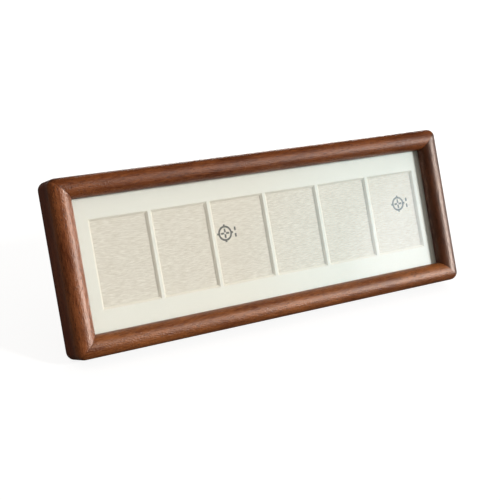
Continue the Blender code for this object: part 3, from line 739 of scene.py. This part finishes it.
# %% The pane
clear_glass, shader = new_finish("clear_picture_glass")
fill(shader, Base_Color=(0.99, 0.997, 0.99, 1.0), Roughness=0.0, IOR=1.5, Transmission_Weight=1.0)
tree = shader.tree
through = add_node(tree, "ShaderNodeBsdfTransparent", Color=(0.925, 0.935, 0.925, 1.0))
ray = add_node(tree, "ShaderNodeLightPath")
after_paper = reckon("GREATER_THAN", ray["Diffuse Depth"], 0.5)
straight = reckon("MAXIMUM", ray["Is Shadow Ray"], after_paper)
pane_mix = add_node(tree, "ShaderNodeMixShader", straight, shader, through)
feed(tree.nodes["Material Output"].inputs["Surface"], pane_mix)


def give_finish(mesh, *finishes):
    """Let these finishes replace all that a mesh had."""
    mesh.materials.clear()
    for finish in finishes:
        mesh.materials.append(finish)


def dress(node, finish):
    """Give a CAD piece that keeps its own shape its finish."""
    give_finish(frame["nodes"][node].data, finish)
    print(node, "is dressed in", finish.name)


dress("glass_pane", clear_glass)

# %% [markdown]
# ## Mat board
# Mat board is pressed paper with a toned face and a whiter core. A cutter held at 45 degrees opens each
# window, so the core shows as a sloping edge, bright where it faces the light and dark where it
# doesn't. Six equal windows in a row are a rule, so the tree cuts a plain sheet with six wedges and then
# gives the sloping faces their own finish.


# %% Paper finishes
def paper(name, tint, mottle, depth):
    """Matte paper: a faint mottle, felt marks and a short-fibre relief."""
    finish, shader = new_finish(name)
    place = cut_out_of(shader.tree, "X")
    felt = streaks(place, 0.0016, 0.0011, detail=4.0)
    cloud = streaks(place, 0.030, 0.022, detail=2.0)
    share = ramp(cloud * 0.6 + felt * 0.4, 0.3, 0.7)
    dull = [channel * (1.0 - mottle) for channel in tint[:3]] + [1.0]
    fill(shader, Base_Color=blend_colours(share, dull, tint), Roughness=0.88, Specular_IOR_Level=0.3)
    emboss(shader, felt, 0.35, depth)
    return finish


mat_face = paper("cream_mat_face", (0.885, 0.872, 0.812, 1.0), 0.03, 0.00003)
mat_core = paper("white_mat_core", (0.90, 0.85, 0.765, 1.0), 0.02, 0.00002)
print("papers:", mat_face.name, mat_core.name)


# %% The window tree
window_tree, given = start_tree("bevelled_windows", [
    ("Int", "Windows"), ("Float", "Pitch"), ("Vector", "First window"), ("Vector", "Opening"),
    ("Material", "Face"), ("Material", "Core")])
wedge = add_node(window_tree, "GeometryNodeMeshCube", Size=given["Opening"])
spot = in_parts(add_node(window_tree, "GeometryNodeInputPosition"))
slope = in_parts(given["Opening"])["Y"] * 0.25 + spot["Y"]
lean_in = add_node(window_tree, "ShaderNodeCombineXYZ")
fill(lean_in, X=-reckon("SIGN", spot["X"]) * slope, Z=-reckon("SIGN", spot["Z"]) * slope)
wedge = add_node(window_tree, "GeometryNodeSetPosition", Geometry=wedge, Offset=lean_in)
row = row_of(wedge, given["Windows"], given["Pitch"], given["First window"])
row = add_node(window_tree, "GeometryNodeRealizeInstances", row)
outward = in_parts(add_node(window_tree, "GeometryNodeInputNormal"))["Y"]
sloping = reckon("COMPARE", abs(outward), 0.7, 0.2)
end_tree(cut_away(given["Geometry"], row), given["Face"], sloping, given["Core"])


# %% Keep a drawn solid
def keep_mesh(shape, name):
    """Turn a bmesh into a mesh with its faces outward."""
    bmesh.ops.recalc_face_normals(shape, faces=shape.faces)
    mesh = bpy.data.meshes.new(name)
    shape.to_mesh(mesh)
    shape.free()
    return mesh


def plain_slab(low, high):
    """A closed box mesh between two corners."""
    shape = bmesh.new()
    bmesh.ops.create_cube(shape, size=1.0)
    for vertex in shape.verts:
        vertex.co = Vector([low[i] if vertex.co[i] < 0 else high[i] for i in range(3)])
    return keep_mesh(shape, "slab")


# %% Cut the mat
WINDOWS = 6
WINDOW_WIDTH = 0.0435
WINDOW_HEIGHT = 0.061
WINDOW_PITCH = 0.0457
WINDOW_SHIFT = 0.0015
mat_low, mat_high = SHEETS["mat_board"]
board = mat_high.y - mat_low.y
first = (WINDOW_SHIFT - WINDOW_PITCH * (WINDOWS - 1) / 2, mat_low.y + board / 2, HALF_HEIGHT)
sizes = {"Windows": WINDOWS, "Pitch": WINDOW_PITCH, "First window": first}
sizes.update({"Opening": (WINDOW_WIDTH, board * 2.0, WINDOW_HEIGHT), "Face": mat_face, "Core": mat_core})
mat_mesh = run_tree(window_tree, plain_slab(mat_low, mat_high), sizes)
finish_piece(mat_mesh, "window_mat", STANDING, "frame", ["mat_board"])
print("first window stands at x, mm:", *in_mm(first[:1], 2))

# %% [markdown]
# ## The card behind the windows
# The card is the plain insert a frame is sold with: uncoated, ivory, with the fine level streaks of laid
# paper. The CAD sheet has the right shape already, so it only takes a finish. The streaks are noise drawn
# out along the frame's length, in two widths, with hardly any contrast.

# %% Streaked card
CARD_DARK = (0.665, 0.61, 0.533, 1.0)
CARD_LIGHT = (0.855, 0.81, 0.738, 1.0)
streaked_card, shader = new_finish("streaked_ivory_card")
place = cut_out_of(shader.tree, "X")
broad = streaks(place, 0.0046, 0.00044, detail=1.0, distortion=0.10)
fine = streaks(place, 0.0032, 0.00032)
tone = broad * 0.60 + fine * 0.40
fill(shader, Base_Color=blend_colours(ramp(tone, 0.36, 0.66), CARD_DARK, CARD_LIGHT))
fill(shader, Roughness=0.85, Specular_IOR_Level=0.3)
emboss(shader, tone, 0.3, 0.00003)
dress("insert_card", streaked_card)

# %% [markdown]
# ## Printed register marks
# Two windows of the card carry a small print. Here each is a printer's register mark, a ring with a cross
# and two ticks, which says nothing. It could be part of the card's finish, but so thin a line would blur
# in a baked picture. So the ink is a thin film of its own, drawn once and placed by a tree.

# %% A tree that places copies
copy_tree, given = start_tree("placed_copies", [
    ("Object", "Copy"), ("Float", "Turn by chance"), ("Int", "Seed"), ("Material", "Finish")])
source = add_node(copy_tree, "GeometryNodeObjectInfo", Object=given["Copy"])
chance = add_node(copy_tree, "FunctionNodeRandomValue", settings={"data_type": "FLOAT"}, Seed=given["Seed"])
feed(chance.node.inputs[2], -given["Turn by chance"])
feed(chance.node.inputs[3], given["Turn by chance"])
end_tree(turned_copies(given["Geometry"], source["Geometry"], chance[1]), given["Finish"])


def place_copies(mesh, places, finish, chance=0.0, seed=1):
    """Put a copy of a mesh on each place, given as (x, y, z, turn about Y)."""
    pattern = put_in_scene("pattern", mesh)
    values = {"Copy": pattern, "Turn by chance": chance, "Seed": seed, "Finish": finish}
    placed = run_tree(copy_tree, turned_points(places), values)
    bpy.data.objects.remove(pattern)
    return placed


# %% Solids a maker draws
def bridge(shape, loops):
    """Skin one loop of points to the next. A loop of a single point makes a cone."""
    for near, far in zip(loops, loops[1:]):
        steps = max(len(near), len(far))
        for i in range(steps):
            j = (i + 1) % steps
            corners = [near[i % len(near)], near[j % len(near)], far[j % len(far)], far[i % len(far)]]
            shape.faces.new(list(dict.fromkeys(corners)))


def add_hollow(shape, outer, inner, front, back):
    """A flat plate with a hole. Both outlines are in X and Z and have as many points."""
    loops = []
    for outline, y in ((inner, front), (outer, front), (outer, back), (inner, back)):
        loops.append([shape.verts.new((x, y, z)) for x, z in outline])
    bridge(shape, loops + loops[:1])


def add_plate(shape, box, front, back):
    """A flat plate between left, right, low and high, and between two depths in Y."""
    left, right, low, high = box
    outline = ((left, low), (right, low), (right, high), (left, high))
    face = shape.faces.new([shape.verts.new((x, front, z)) for x, z in outline])
    grown = bmesh.ops.extrude_face_region(shape, geom=[face])
    far = [part for part in grown["geom"] if isinstance(part, bmesh.types.BMVert)]
    bmesh.ops.translate(shape, verts=far, vec=(0.0, back - front, 0.0))


def lathe(profile, steps=40):
    """A round solid about Y. The profile holds (radius, y), closed by its ends on the axis."""
    shape = bmesh.new()
    loops = []
    for radius, y in profile:
        ring = circle(radius, steps if radius > 0 else 1)
        loops.append([shape.verts.new((x, y, z)) for x, z in ring])
    bridge(shape, loops)
    return keep_mesh(shape, "turned")


def bent_strip(stations, low, high, capped=True):
    """A strip along X between two heights. Each station holds x, front and back."""
    shape = bmesh.new()
    loops = []
    for x, front, back in stations:
        corners = ((front, low), (back, low), (back, high), (front, high))
        loops.append([shape.verts.new((x, y, z)) for y, z in corners])
    bridge(shape, loops)
    if capped:
        shape.faces.new(loops[0])
        shape.faces.new(loops[-1])
    return keep_mesh(shape, "strip")


# %% Print the marks
INK_BLACK = (0.016, 0.014, 0.010, 1.0)
INK_WORN = (0.040, 0.037, 0.030, 1.0)
MARK_LINE = 0.0014
MARK_RADIUS = 0.0048
TICK_SIDES = (0.0076, 0.0090)
TICK_HEIGHT = 0.0026
INK_FILM = (-0.00003, -0.000005)
MARK_HEIGHT = 0.0662
ink, shader = new_finish("printing_ink")
speck = streaks(cut_out_of(shader.tree, "X"), 0.0005, 0.0005, detail=3.0)
fill(shader, Base_Color=blend_colours(ramp(speck, 0.45, 0.75), INK_BLACK, INK_WORN), Roughness=0.7)
shape = bmesh.new()
half = MARK_LINE / 2
rings = [circle(radius, 48) for radius in (MARK_RADIUS + half, MARK_RADIUS - half)]
add_hollow(shape, *rings, *INK_FILM)
for side in (-1, 1):
    across = sorted((side * half, side * (MARK_RADIUS - MARK_LINE)))
    beyond = sorted((side * (MARK_RADIUS + half), side * (MARK_RADIUS + 0.0016)))
    for reach in (across, beyond):
        add_plate(shape, (*reach, -half, half), *INK_FILM)
        add_plate(shape, (-half, half, *reach), *INK_FILM)
for low in (-0.0036, 0.0010):
    add_plate(shape, (*TICK_SIDES, low, low + TICK_HEIGHT), *INK_FILM)
card_front = SHEETS["insert_card"][0].y
spots = [(x, card_front, MARK_HEIGHT, 0.0) for x in (-0.0338, 0.1206)]
printed = place_copies(keep_mesh(shape, "mark"), spots, ink)
finish_piece(printed, "printed_marks", STANDING, "frame", [])

# %% [markdown]
# ## Plated steel
# The back is held by stamped steel: nickelled hinge and rivets, brassed turn buttons, screws and hanger,
# and bright nails. One recipe serves them all, since plating is a thin metal skin with fine drawing
# lines and a haze where hands and air have dulled it. Only the colours and the gloss differ.


# %% Metal finishes
def plated(name, bright, dull, rough):
    """A metal skin with a dull haze and fine drawing lines."""
    finish, shader = new_finish(name)
    place = cut_out_of(shader.tree, "X")
    lines = streaks(place, 0.0060, 0.00010, detail=2.0)
    haze = ramp(streaks(place, 0.0045, 0.0035, detail=5.0), 0.40, 0.68)
    fill(shader, Base_Color=blend_colours(haze, bright, dull), Metallic=1.0)
    fill(shader, Roughness=lines * 0.08 + haze * 0.16 + rough)
    emboss(shader, lines, 0.25, 0.00001)
    return finish


nickel = plated("nickelled_steel_skin", (0.66, 0.65, 0.61, 1.0), (0.44, 0.43, 0.40, 1.0), 0.24)
brass = plated("brassed_steel_skin", (0.80, 0.60, 0.27, 1.0), (0.50, 0.34, 0.14, 1.0), 0.26)
bright = plated("bright_nail_steel", (0.60, 0.61, 0.62, 1.0), (0.38, 0.37, 0.36, 1.0), 0.30)
print("metals:", nickel.name, brass.name, bright.name)

# %% [markdown]
# ## Hardboard
# The backing board and the strut are hardboard: brown wood fibre pressed hard, with dark specks on a smooth
# face and a paler, rougher sawn edge. Two finishes make it, one for the faces and one for the edges, given
# out by which way each face looks.


# %% Board finishes
SPECK_BROWN = (0.03, 0.015, 0.008, 1.0)


def fibreboard(name, dark, light, rough, relief):
    """Pressed wood fibre: matted short fibres, soft blotches and dark specks."""
    finish, shader = new_finish(name)
    place = cut_out_of(shader.tree, "X")
    matted = streaks(place, 0.0026, 0.0011, detail=5.0, distortion=2.0)
    blotch = streaks(place, 0.014, 0.009, detail=2.0)
    specks = pore_marks(place, 0.0036, 0.0024, 0.20)
    colour = blend_colours(ramp(matted * 0.85 + blotch * 0.30, 0.42, 0.72), dark, light)
    colour = blend_colours(specks * 0.55, colour, SPECK_BROWN)
    fill(shader, Base_Color=colour, Roughness=matted * 0.2 + rough)
    emboss(shader, matted, 0.4, relief)
    return finish


FACE_TONES = ((0.095, 0.046, 0.022, 1.0), (0.250, 0.140, 0.074, 1.0))
EDGE_TONES = ((0.190, 0.110, 0.060, 1.0), (0.330, 0.210, 0.120, 1.0))
board_face = fibreboard("hardboard_face", *FACE_TONES, 0.42, 0.00005)
board_edge = fibreboard("hardboard_sawn_edge", *EDGE_TONES, 0.72, 0.00010)
print("board finishes:", board_face.name, board_edge.name)

# %% [markdown]
# ## Easing a CAD piece
# A stamped leaf or a sawn board has the right shape in the CAD, but its edges are mathematically sharp, and
# no real edge is: the small round is what catches the light. So such a piece is copied, its loose
# triangles are merged into clean faces, and every sharp edge gets a small bevel.


# %% Ease the edges
def ease_edges(shape, width, segments=2):
    """Bevel every sharp edge of a clean bmesh."""
    sharp = [edge for edge in shape.edges if edge.is_manifold and edge.calc_face_angle() > math.radians(35)]
    bmesh.ops.bevel(shape, geom=sharp, offset=width, segments=segments, profile=0.5,
                    affect="EDGES", clamp_overlap=True)


def eased_copy(node, width, segments=2):
    """A merged copy of a CAD piece with its edges eased, still where the CAD has it."""
    shape = bmesh.new()
    shape.from_mesh(frame["nodes"][node].data)
    bmesh.ops.remove_doubles(shape, verts=shape.verts, dist=1e-6)
    bmesh.ops.dissolve_limit(shape, angle_limit=math.radians(1.0), verts=shape.verts, edges=shape.edges)
    ease_edges(shape, width, segments)
    return keep_mesh(shape, node + "_eased")


def hardboard_copy(node, width, segments, axes):
    """An eased board. Faces that look along its thickness, to or fro, get the smooth finish."""
    mesh = eased_copy(node, width, segments)
    give_finish(mesh, board_face, board_edge)
    way = axes.to_3x3() @ Vector((0.0, 1.0, 0.0))
    for face in mesh.polygons:
        face.material_index = 0 if abs(face.normal.dot(way)) > 0.95 else 1
    return mesh


# %% Board pieces
STAY = Matrix.Identity(4)
hinge_joint = next(joint for joint in frame["joints"] if joint["name"] == "strut_fold")
OPENING = math.radians(hinge_joint["range_deg"][1])
hinge_place = UPRIGHT @ Vector(hinge_joint["pos_m"])
STRUT_OPEN = STANDING @ Matrix.Translation(hinge_place) @ Matrix.Rotation(OPENING, 4, "X")
backing = hardboard_copy("backing_board", 0.0002, 2, STANDING)
finish_piece(backing, "backing_panel", STAY, "frame", ["backing_board"])
strut = hardboard_copy("strut_board", 0.0004, 3, STRUT_OPEN)
finish_piece(strut, "easel_strut", STAY, "strut", ["strut_board"])
print("strut opens, degrees:", round(math.degrees(OPENING), 1))

# %% Hinge pieces
for node, body in (("hinge_fixed_leaf", "frame"), ("hinge_moving_leaf", "strut"), ("hinge_pin", "frame")):
    leaf = eased_copy(node, 0.00012)
    give_finish(leaf, nickel)
    finish_piece(leaf, node + "_stamping", STAY, body, [node])

# %% [markdown]
# ## Rivets, nails and screws
# Each kind of fastener is one turned shape that repeats. A lathe would make it, and so does a profile
# turned about its axis, with a soft rim and a domed head. The tree of copies then sets one on each place
# that the CAD gives, and the screws end at chance angles, as they do when somebody drives them.


# %% Fastener patterns
HEAD_RADIUS = 0.0024
SHANK_RADIUS = 0.0011
SOFT_RIM = 0.0001


def place_of(node, axes, turn=0.0):
    """Where a fastener's axis crosses y = 0, as a place for a copy."""
    low, high = box_in(node, axes)
    return ((low.x + high.x) / 2, 0.0, (low.z + high.z) / 2, turn)


def domed_head(seat, top, steps=8):
    """Profile of a domed head from its rim to its crown."""
    base = seat + SOFT_RIM
    profile = [(HEAD_RADIUS - SOFT_RIM, seat), (HEAD_RADIUS, base)]
    for i in range(1, steps + 1):
        turn = math.pi / 2 * i / steps
        across = HEAD_RADIUS * math.cos(turn) if i < steps else 0.0
        profile.append((across, base + (top - base) * math.sin(turn)))
    return profile


# %% Rivets
RIVET_HEAD = 0.0009
for kind, out, body in (("backing_rivet", STANDING, "frame"), ("strut_rivet", STRUT_OPEN, "strut")):
    into = out.inverted()
    pair = [kind + "_left", kind + "_right"]
    low, high = box_in(pair[0], into)
    seat = high.y - RIVET_HEAD
    profile = [(0.0, low.y), (0.0009, low.y), (SHANK_RADIUS, low.y + 0.0002), (SHANK_RADIUS, seat)]
    rivet = lathe(profile + domed_head(seat, high.y))
    mesh = place_copies(rivet, [place_of(node, into) for node in pair], nickel)
    finish_piece(mesh, kind + "s", out, body, pair, angle=50.0)

# %% Hanger nails
NAIL_HEAD_RADIUS = 0.0015
NAIL_SHANK_RADIUS = 0.0006
NAIL_TAPER = 0.0014
nails = ["hanger_nail_left", "hanger_nail_right"]
low, high = box_in(nails[0], UPRIGHT)
seat = high.y - 0.0006
profile = [(0.0, low.y), (NAIL_SHANK_RADIUS, low.y + NAIL_TAPER), (NAIL_SHANK_RADIUS, seat)]
profile += [(NAIL_HEAD_RADIUS - SOFT_RIM, seat), (NAIL_HEAD_RADIUS, seat + SOFT_RIM)]
profile += [(NAIL_HEAD_RADIUS, seat + 0.00035), (0.0013, seat + 0.0005), (0.0008, seat + 0.00058)]
profile += [(0.0, high.y)]
mesh = place_copies(lathe(profile, 28), [place_of(node, UPRIGHT) for node in nails], bright)
finish_piece(mesh, "hanger_nails", STANDING, "frame", nails)

# %% The cross slot tree
slot_tree, given = start_tree("cross_slot", [
    ("Vector", "Bar"), ("Float", "Head top"), ("Material", "Finish")])
cross = welded_to_itself(add_node(slot_tree, "GeometryNodeMeshCube", Size=given["Bar"]), math.pi / 2)
lift = add_node(slot_tree, "ShaderNodeCombineXYZ", Y=given["Head top"])
cross = add_node(slot_tree, "GeometryNodeTransform", Geometry=cross, Translation=lift)
end_tree(cut_away(given["Geometry"], cross), given["Finish"])

# %% Button screws
SIDES = ("top_left", "top_right", "bottom_left", "bottom_right", "left", "right")
SCREW_HEAD = 0.0013
SLOT_BAR = (0.0028, 0.0013, 0.0006)
screws = ["button_screw_" + side for side in SIDES]
low, high = box_in(screws[0], UPRIGHT)
seat = high.y - SCREW_HEAD
profile = [(0.0, low.y), (SHANK_RADIUS, low.y + 0.0033), (SHANK_RADIUS, seat)]
blank = lathe(profile + domed_head(seat, high.y, 10))
slotted = run_tree(slot_tree, blank, {"Bar": SLOT_BAR, "Head top": high.y, "Finish": brass})
mesh = place_copies(slotted, [place_of(node, UPRIGHT) for node in screws], brass, chance=0.75, seed=7)
finish_piece(mesh, "button_screws", STANDING, "frame", screws)

# %% [markdown]
# ## Turn buttons
# A turn button is a stamped brassed strip with round ends that swings over the edge of the backing board.
# Each one moves by itself, so each rides on its own body. One blank is drawn: an outline and a hole with
# the same number of points, bridged into a plate, and then eased all round.

# %% Stamp the blank
BUTTON_REACH = 0.014
HOLE_RADIUS = 0.0013
low, high = box_in("turn_button_top_left", UPRIGHT)
half = (high.x - low.x) / 2
upper = [math.pi * i / 24 for i in range(25)]
rim = [(half * math.cos(a), half * math.sin(a)) for a in upper]
rim += [(-x, -z - BUTTON_REACH) for x, z in rim]
hole = [(HOLE_RADIUS * x / math.hypot(x, z), HOLE_RADIUS * z / math.hypot(x, z)) for x, z in rim]
shape = bmesh.new()
add_hollow(shape, rim, hole, low.y, high.y)
ease_edges(shape, 0.00018)
button = keep_mesh(shape, "button")
TURNS = (0.0, 0.0, math.pi, math.pi, -math.pi / 2, math.pi / 2)
for side, turn in zip(SIDES, TURNS):
    mesh = place_copies(button, [place_of("button_screw_" + side, UPRIGHT, turn)], brass)
    node = "turn_button_" + side
    finish_piece(mesh, node + "_stamping", STANDING, "button_" + side, [node])

# %% [markdown]
# ## V-nails in their slits
# The slits are open and the steel finish exists by now, so the nails can go in. They come from the same
# tree as the slits, this time without the spare, and lie as deep as the CAD has them.

# %% Drive the V-nails
v_nails = ["v_nail_" + corner for corner in CORNERS]
low, high = box_in(v_nails[0], UPRIGHT)
mesh = corner_angles(0.0, low.y, high.y, bright)
finish_piece(mesh, "v_nails", STANDING, "frame", v_nails)

# %% [markdown]
# ## Sawtooth hanger
# The hanger is a strip of brassed steel, nailed flat at its ends and raised in the middle, with a row of
# teeth below that a wall nail can catch. The strip is drawn along its bends, and the teeth are what
# repeats: a tree files one notch after another out of the lower edge.

# %% The notch tree
notch_tree, given = start_tree("filed_notches", [
    ("Int", "Notches"), ("Float", "Pitch"), ("Vector", "First notch"), ("Vector", "File"),
    ("Material", "Finish")])
file_bar = add_node(notch_tree, "GeometryNodeMeshCube", Size=(math.sqrt(0.5), 1.0, math.sqrt(0.5)))
file_bar = add_node(notch_tree, "GeometryNodeTransform", Geometry=file_bar)
fill(file_bar, Rotation=(0.0, math.pi / 4, 0.0))
file_bar = add_node(notch_tree, "GeometryNodeTransform", Geometry=file_bar, Scale=given["File"])
row = row_of(file_bar, given["Notches"], given["Pitch"], given["First notch"])
row = add_node(notch_tree, "GeometryNodeRealizeInstances", row)
end_tree(cut_away(given["Geometry"], row), given["Finish"])

# %% File the hanger
HANGER_STEEL = 0.0006
NOTCHES = 10
NOTCH_PITCH = 0.0025
low, high = box_in("sawtooth_hanger", UPRIGHT)
rise = high.y - low.y - HANGER_STEEL
bends = ((high.x, 0.0), (0.0148, 0.0), (0.0143, 0.12), (0.0127, 0.88), (0.0122, 1.0))
stations = [(-x, lift) for x, lift in bends] + [(x, lift) for x, lift in reversed(bends)]
stations = [(x, low.y + rise * lift, low.y + rise * lift + HANGER_STEEL) for x, lift in stations]
strip = bent_strip(stations, low.z, high.z)
first = (-NOTCH_PITCH * (NOTCHES - 1) / 2, (low.y + high.y) / 2, low.z)
sizes = {"Notches": NOTCHES, "Pitch": NOTCH_PITCH, "First notch": first}
sizes.update({"File": (NOTCH_PITCH * 0.92, 0.01, 0.0026), "Finish": brass})
mesh = run_tree(notch_tree, strip, sizes)
finish_piece(mesh, "toothed_hanger", STANDING, "frame", ["sawtooth_hanger"])

# %% [markdown]
# ## Corrugated filler
# The filler packs the rabbet behind the card: double-wall corrugated board, three flat liners with two
# layers of flutes between them. One flute is drawn as a single wave and the tree repeats it along the
# board, which is how the paper mill's rollers make it.

# %% Kraft board
KRAFT_DARK = (0.36, 0.235, 0.125, 1.0)
KRAFT_LIGHT = (0.50, 0.345, 0.20, 1.0)
kraft, shader = new_finish("kraft_board")
place = cut_out_of(shader.tree, "Z")
grain = streaks(place, 0.004, 0.0009, detail=4.0)
cloud = streaks(place, 0.03, 0.02)
share = ramp(grain * 0.6 + cloud * 0.4, 0.35, 0.65)
fill(shader, Base_Color=blend_colours(share, KRAFT_DARK, KRAFT_LIGHT), Roughness=0.9)
emboss(shader, grain, 0.4, 0.00005)
print("filler finish:", kraft.name)

# %% The flute tree
flute_tree, given = start_tree("flute_row", [
    ("Int", "Flutes"), ("Float", "Pitch"), ("Vector", "First flute"), ("Material", "Finish")])
flutes = row_of(given["Geometry"], given["Flutes"], given["Pitch"], given["First flute"])
end_tree(flutes, given["Finish"])

FLUTE_PAPER = 0.00025
WAVE_STEPS = 12


def one_flute(pitch, height, low_z, high_z):
    """One wave of fluting paper about its own middle."""
    stations = []
    for i in range(WAVE_STEPS + 1):
        wave = (height - FLUTE_PAPER) / 2 * math.cos(math.tau * i / WAVE_STEPS)
        stations.append((pitch * (i / WAVE_STEPS - 0.5), wave - FLUTE_PAPER / 2, wave + FLUTE_PAPER / 2))
    return bent_strip(stations, low_z, high_z, capped=False)


# %% Lay up the filler
LINER = 0.00035
FRONT_FLUTES = 0.0030
low, high = SHEETS["filler_board"]
whole = bmesh.new()
depth = low.y
for count, height in ((46, FRONT_FLUTES), (38, high.y - low.y - 3 * LINER - FRONT_FLUTES)):
    whole.from_mesh(plain_slab((low.x, depth, low.z), (high.x, depth + LINER, high.z)))
    depth += LINER
    pitch = (high.x - low.x) / count
    sizes = {"Flutes": count, "Pitch": pitch, "Finish": kraft}
    sizes["First flute"] = (low.x + pitch / 2, depth + height / 2, 0.0)
    whole.from_mesh(run_tree(flute_tree, one_flute(pitch, height, low.z, high.z), sizes))
    depth += height
whole.from_mesh(plain_slab((low.x, depth, low.z), (high.x, high.y, high.z)))
filler = keep_mesh(whole, "filler")
give_finish(filler, kraft)
finish_piece(filler, "corrugated_filler", STANDING, "frame", ["filler_board"])

# %% [markdown]
# The dressed frame must stay the size of the CAD model. Its box is printed here, in the same form as
# the CAD box printed at the start.

# %% Print the dressed box
dressed_box = [list(corner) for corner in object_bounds()]
print("dressed box, mm:", in_mm(high - low for low, high in zip(*dressed_box)))
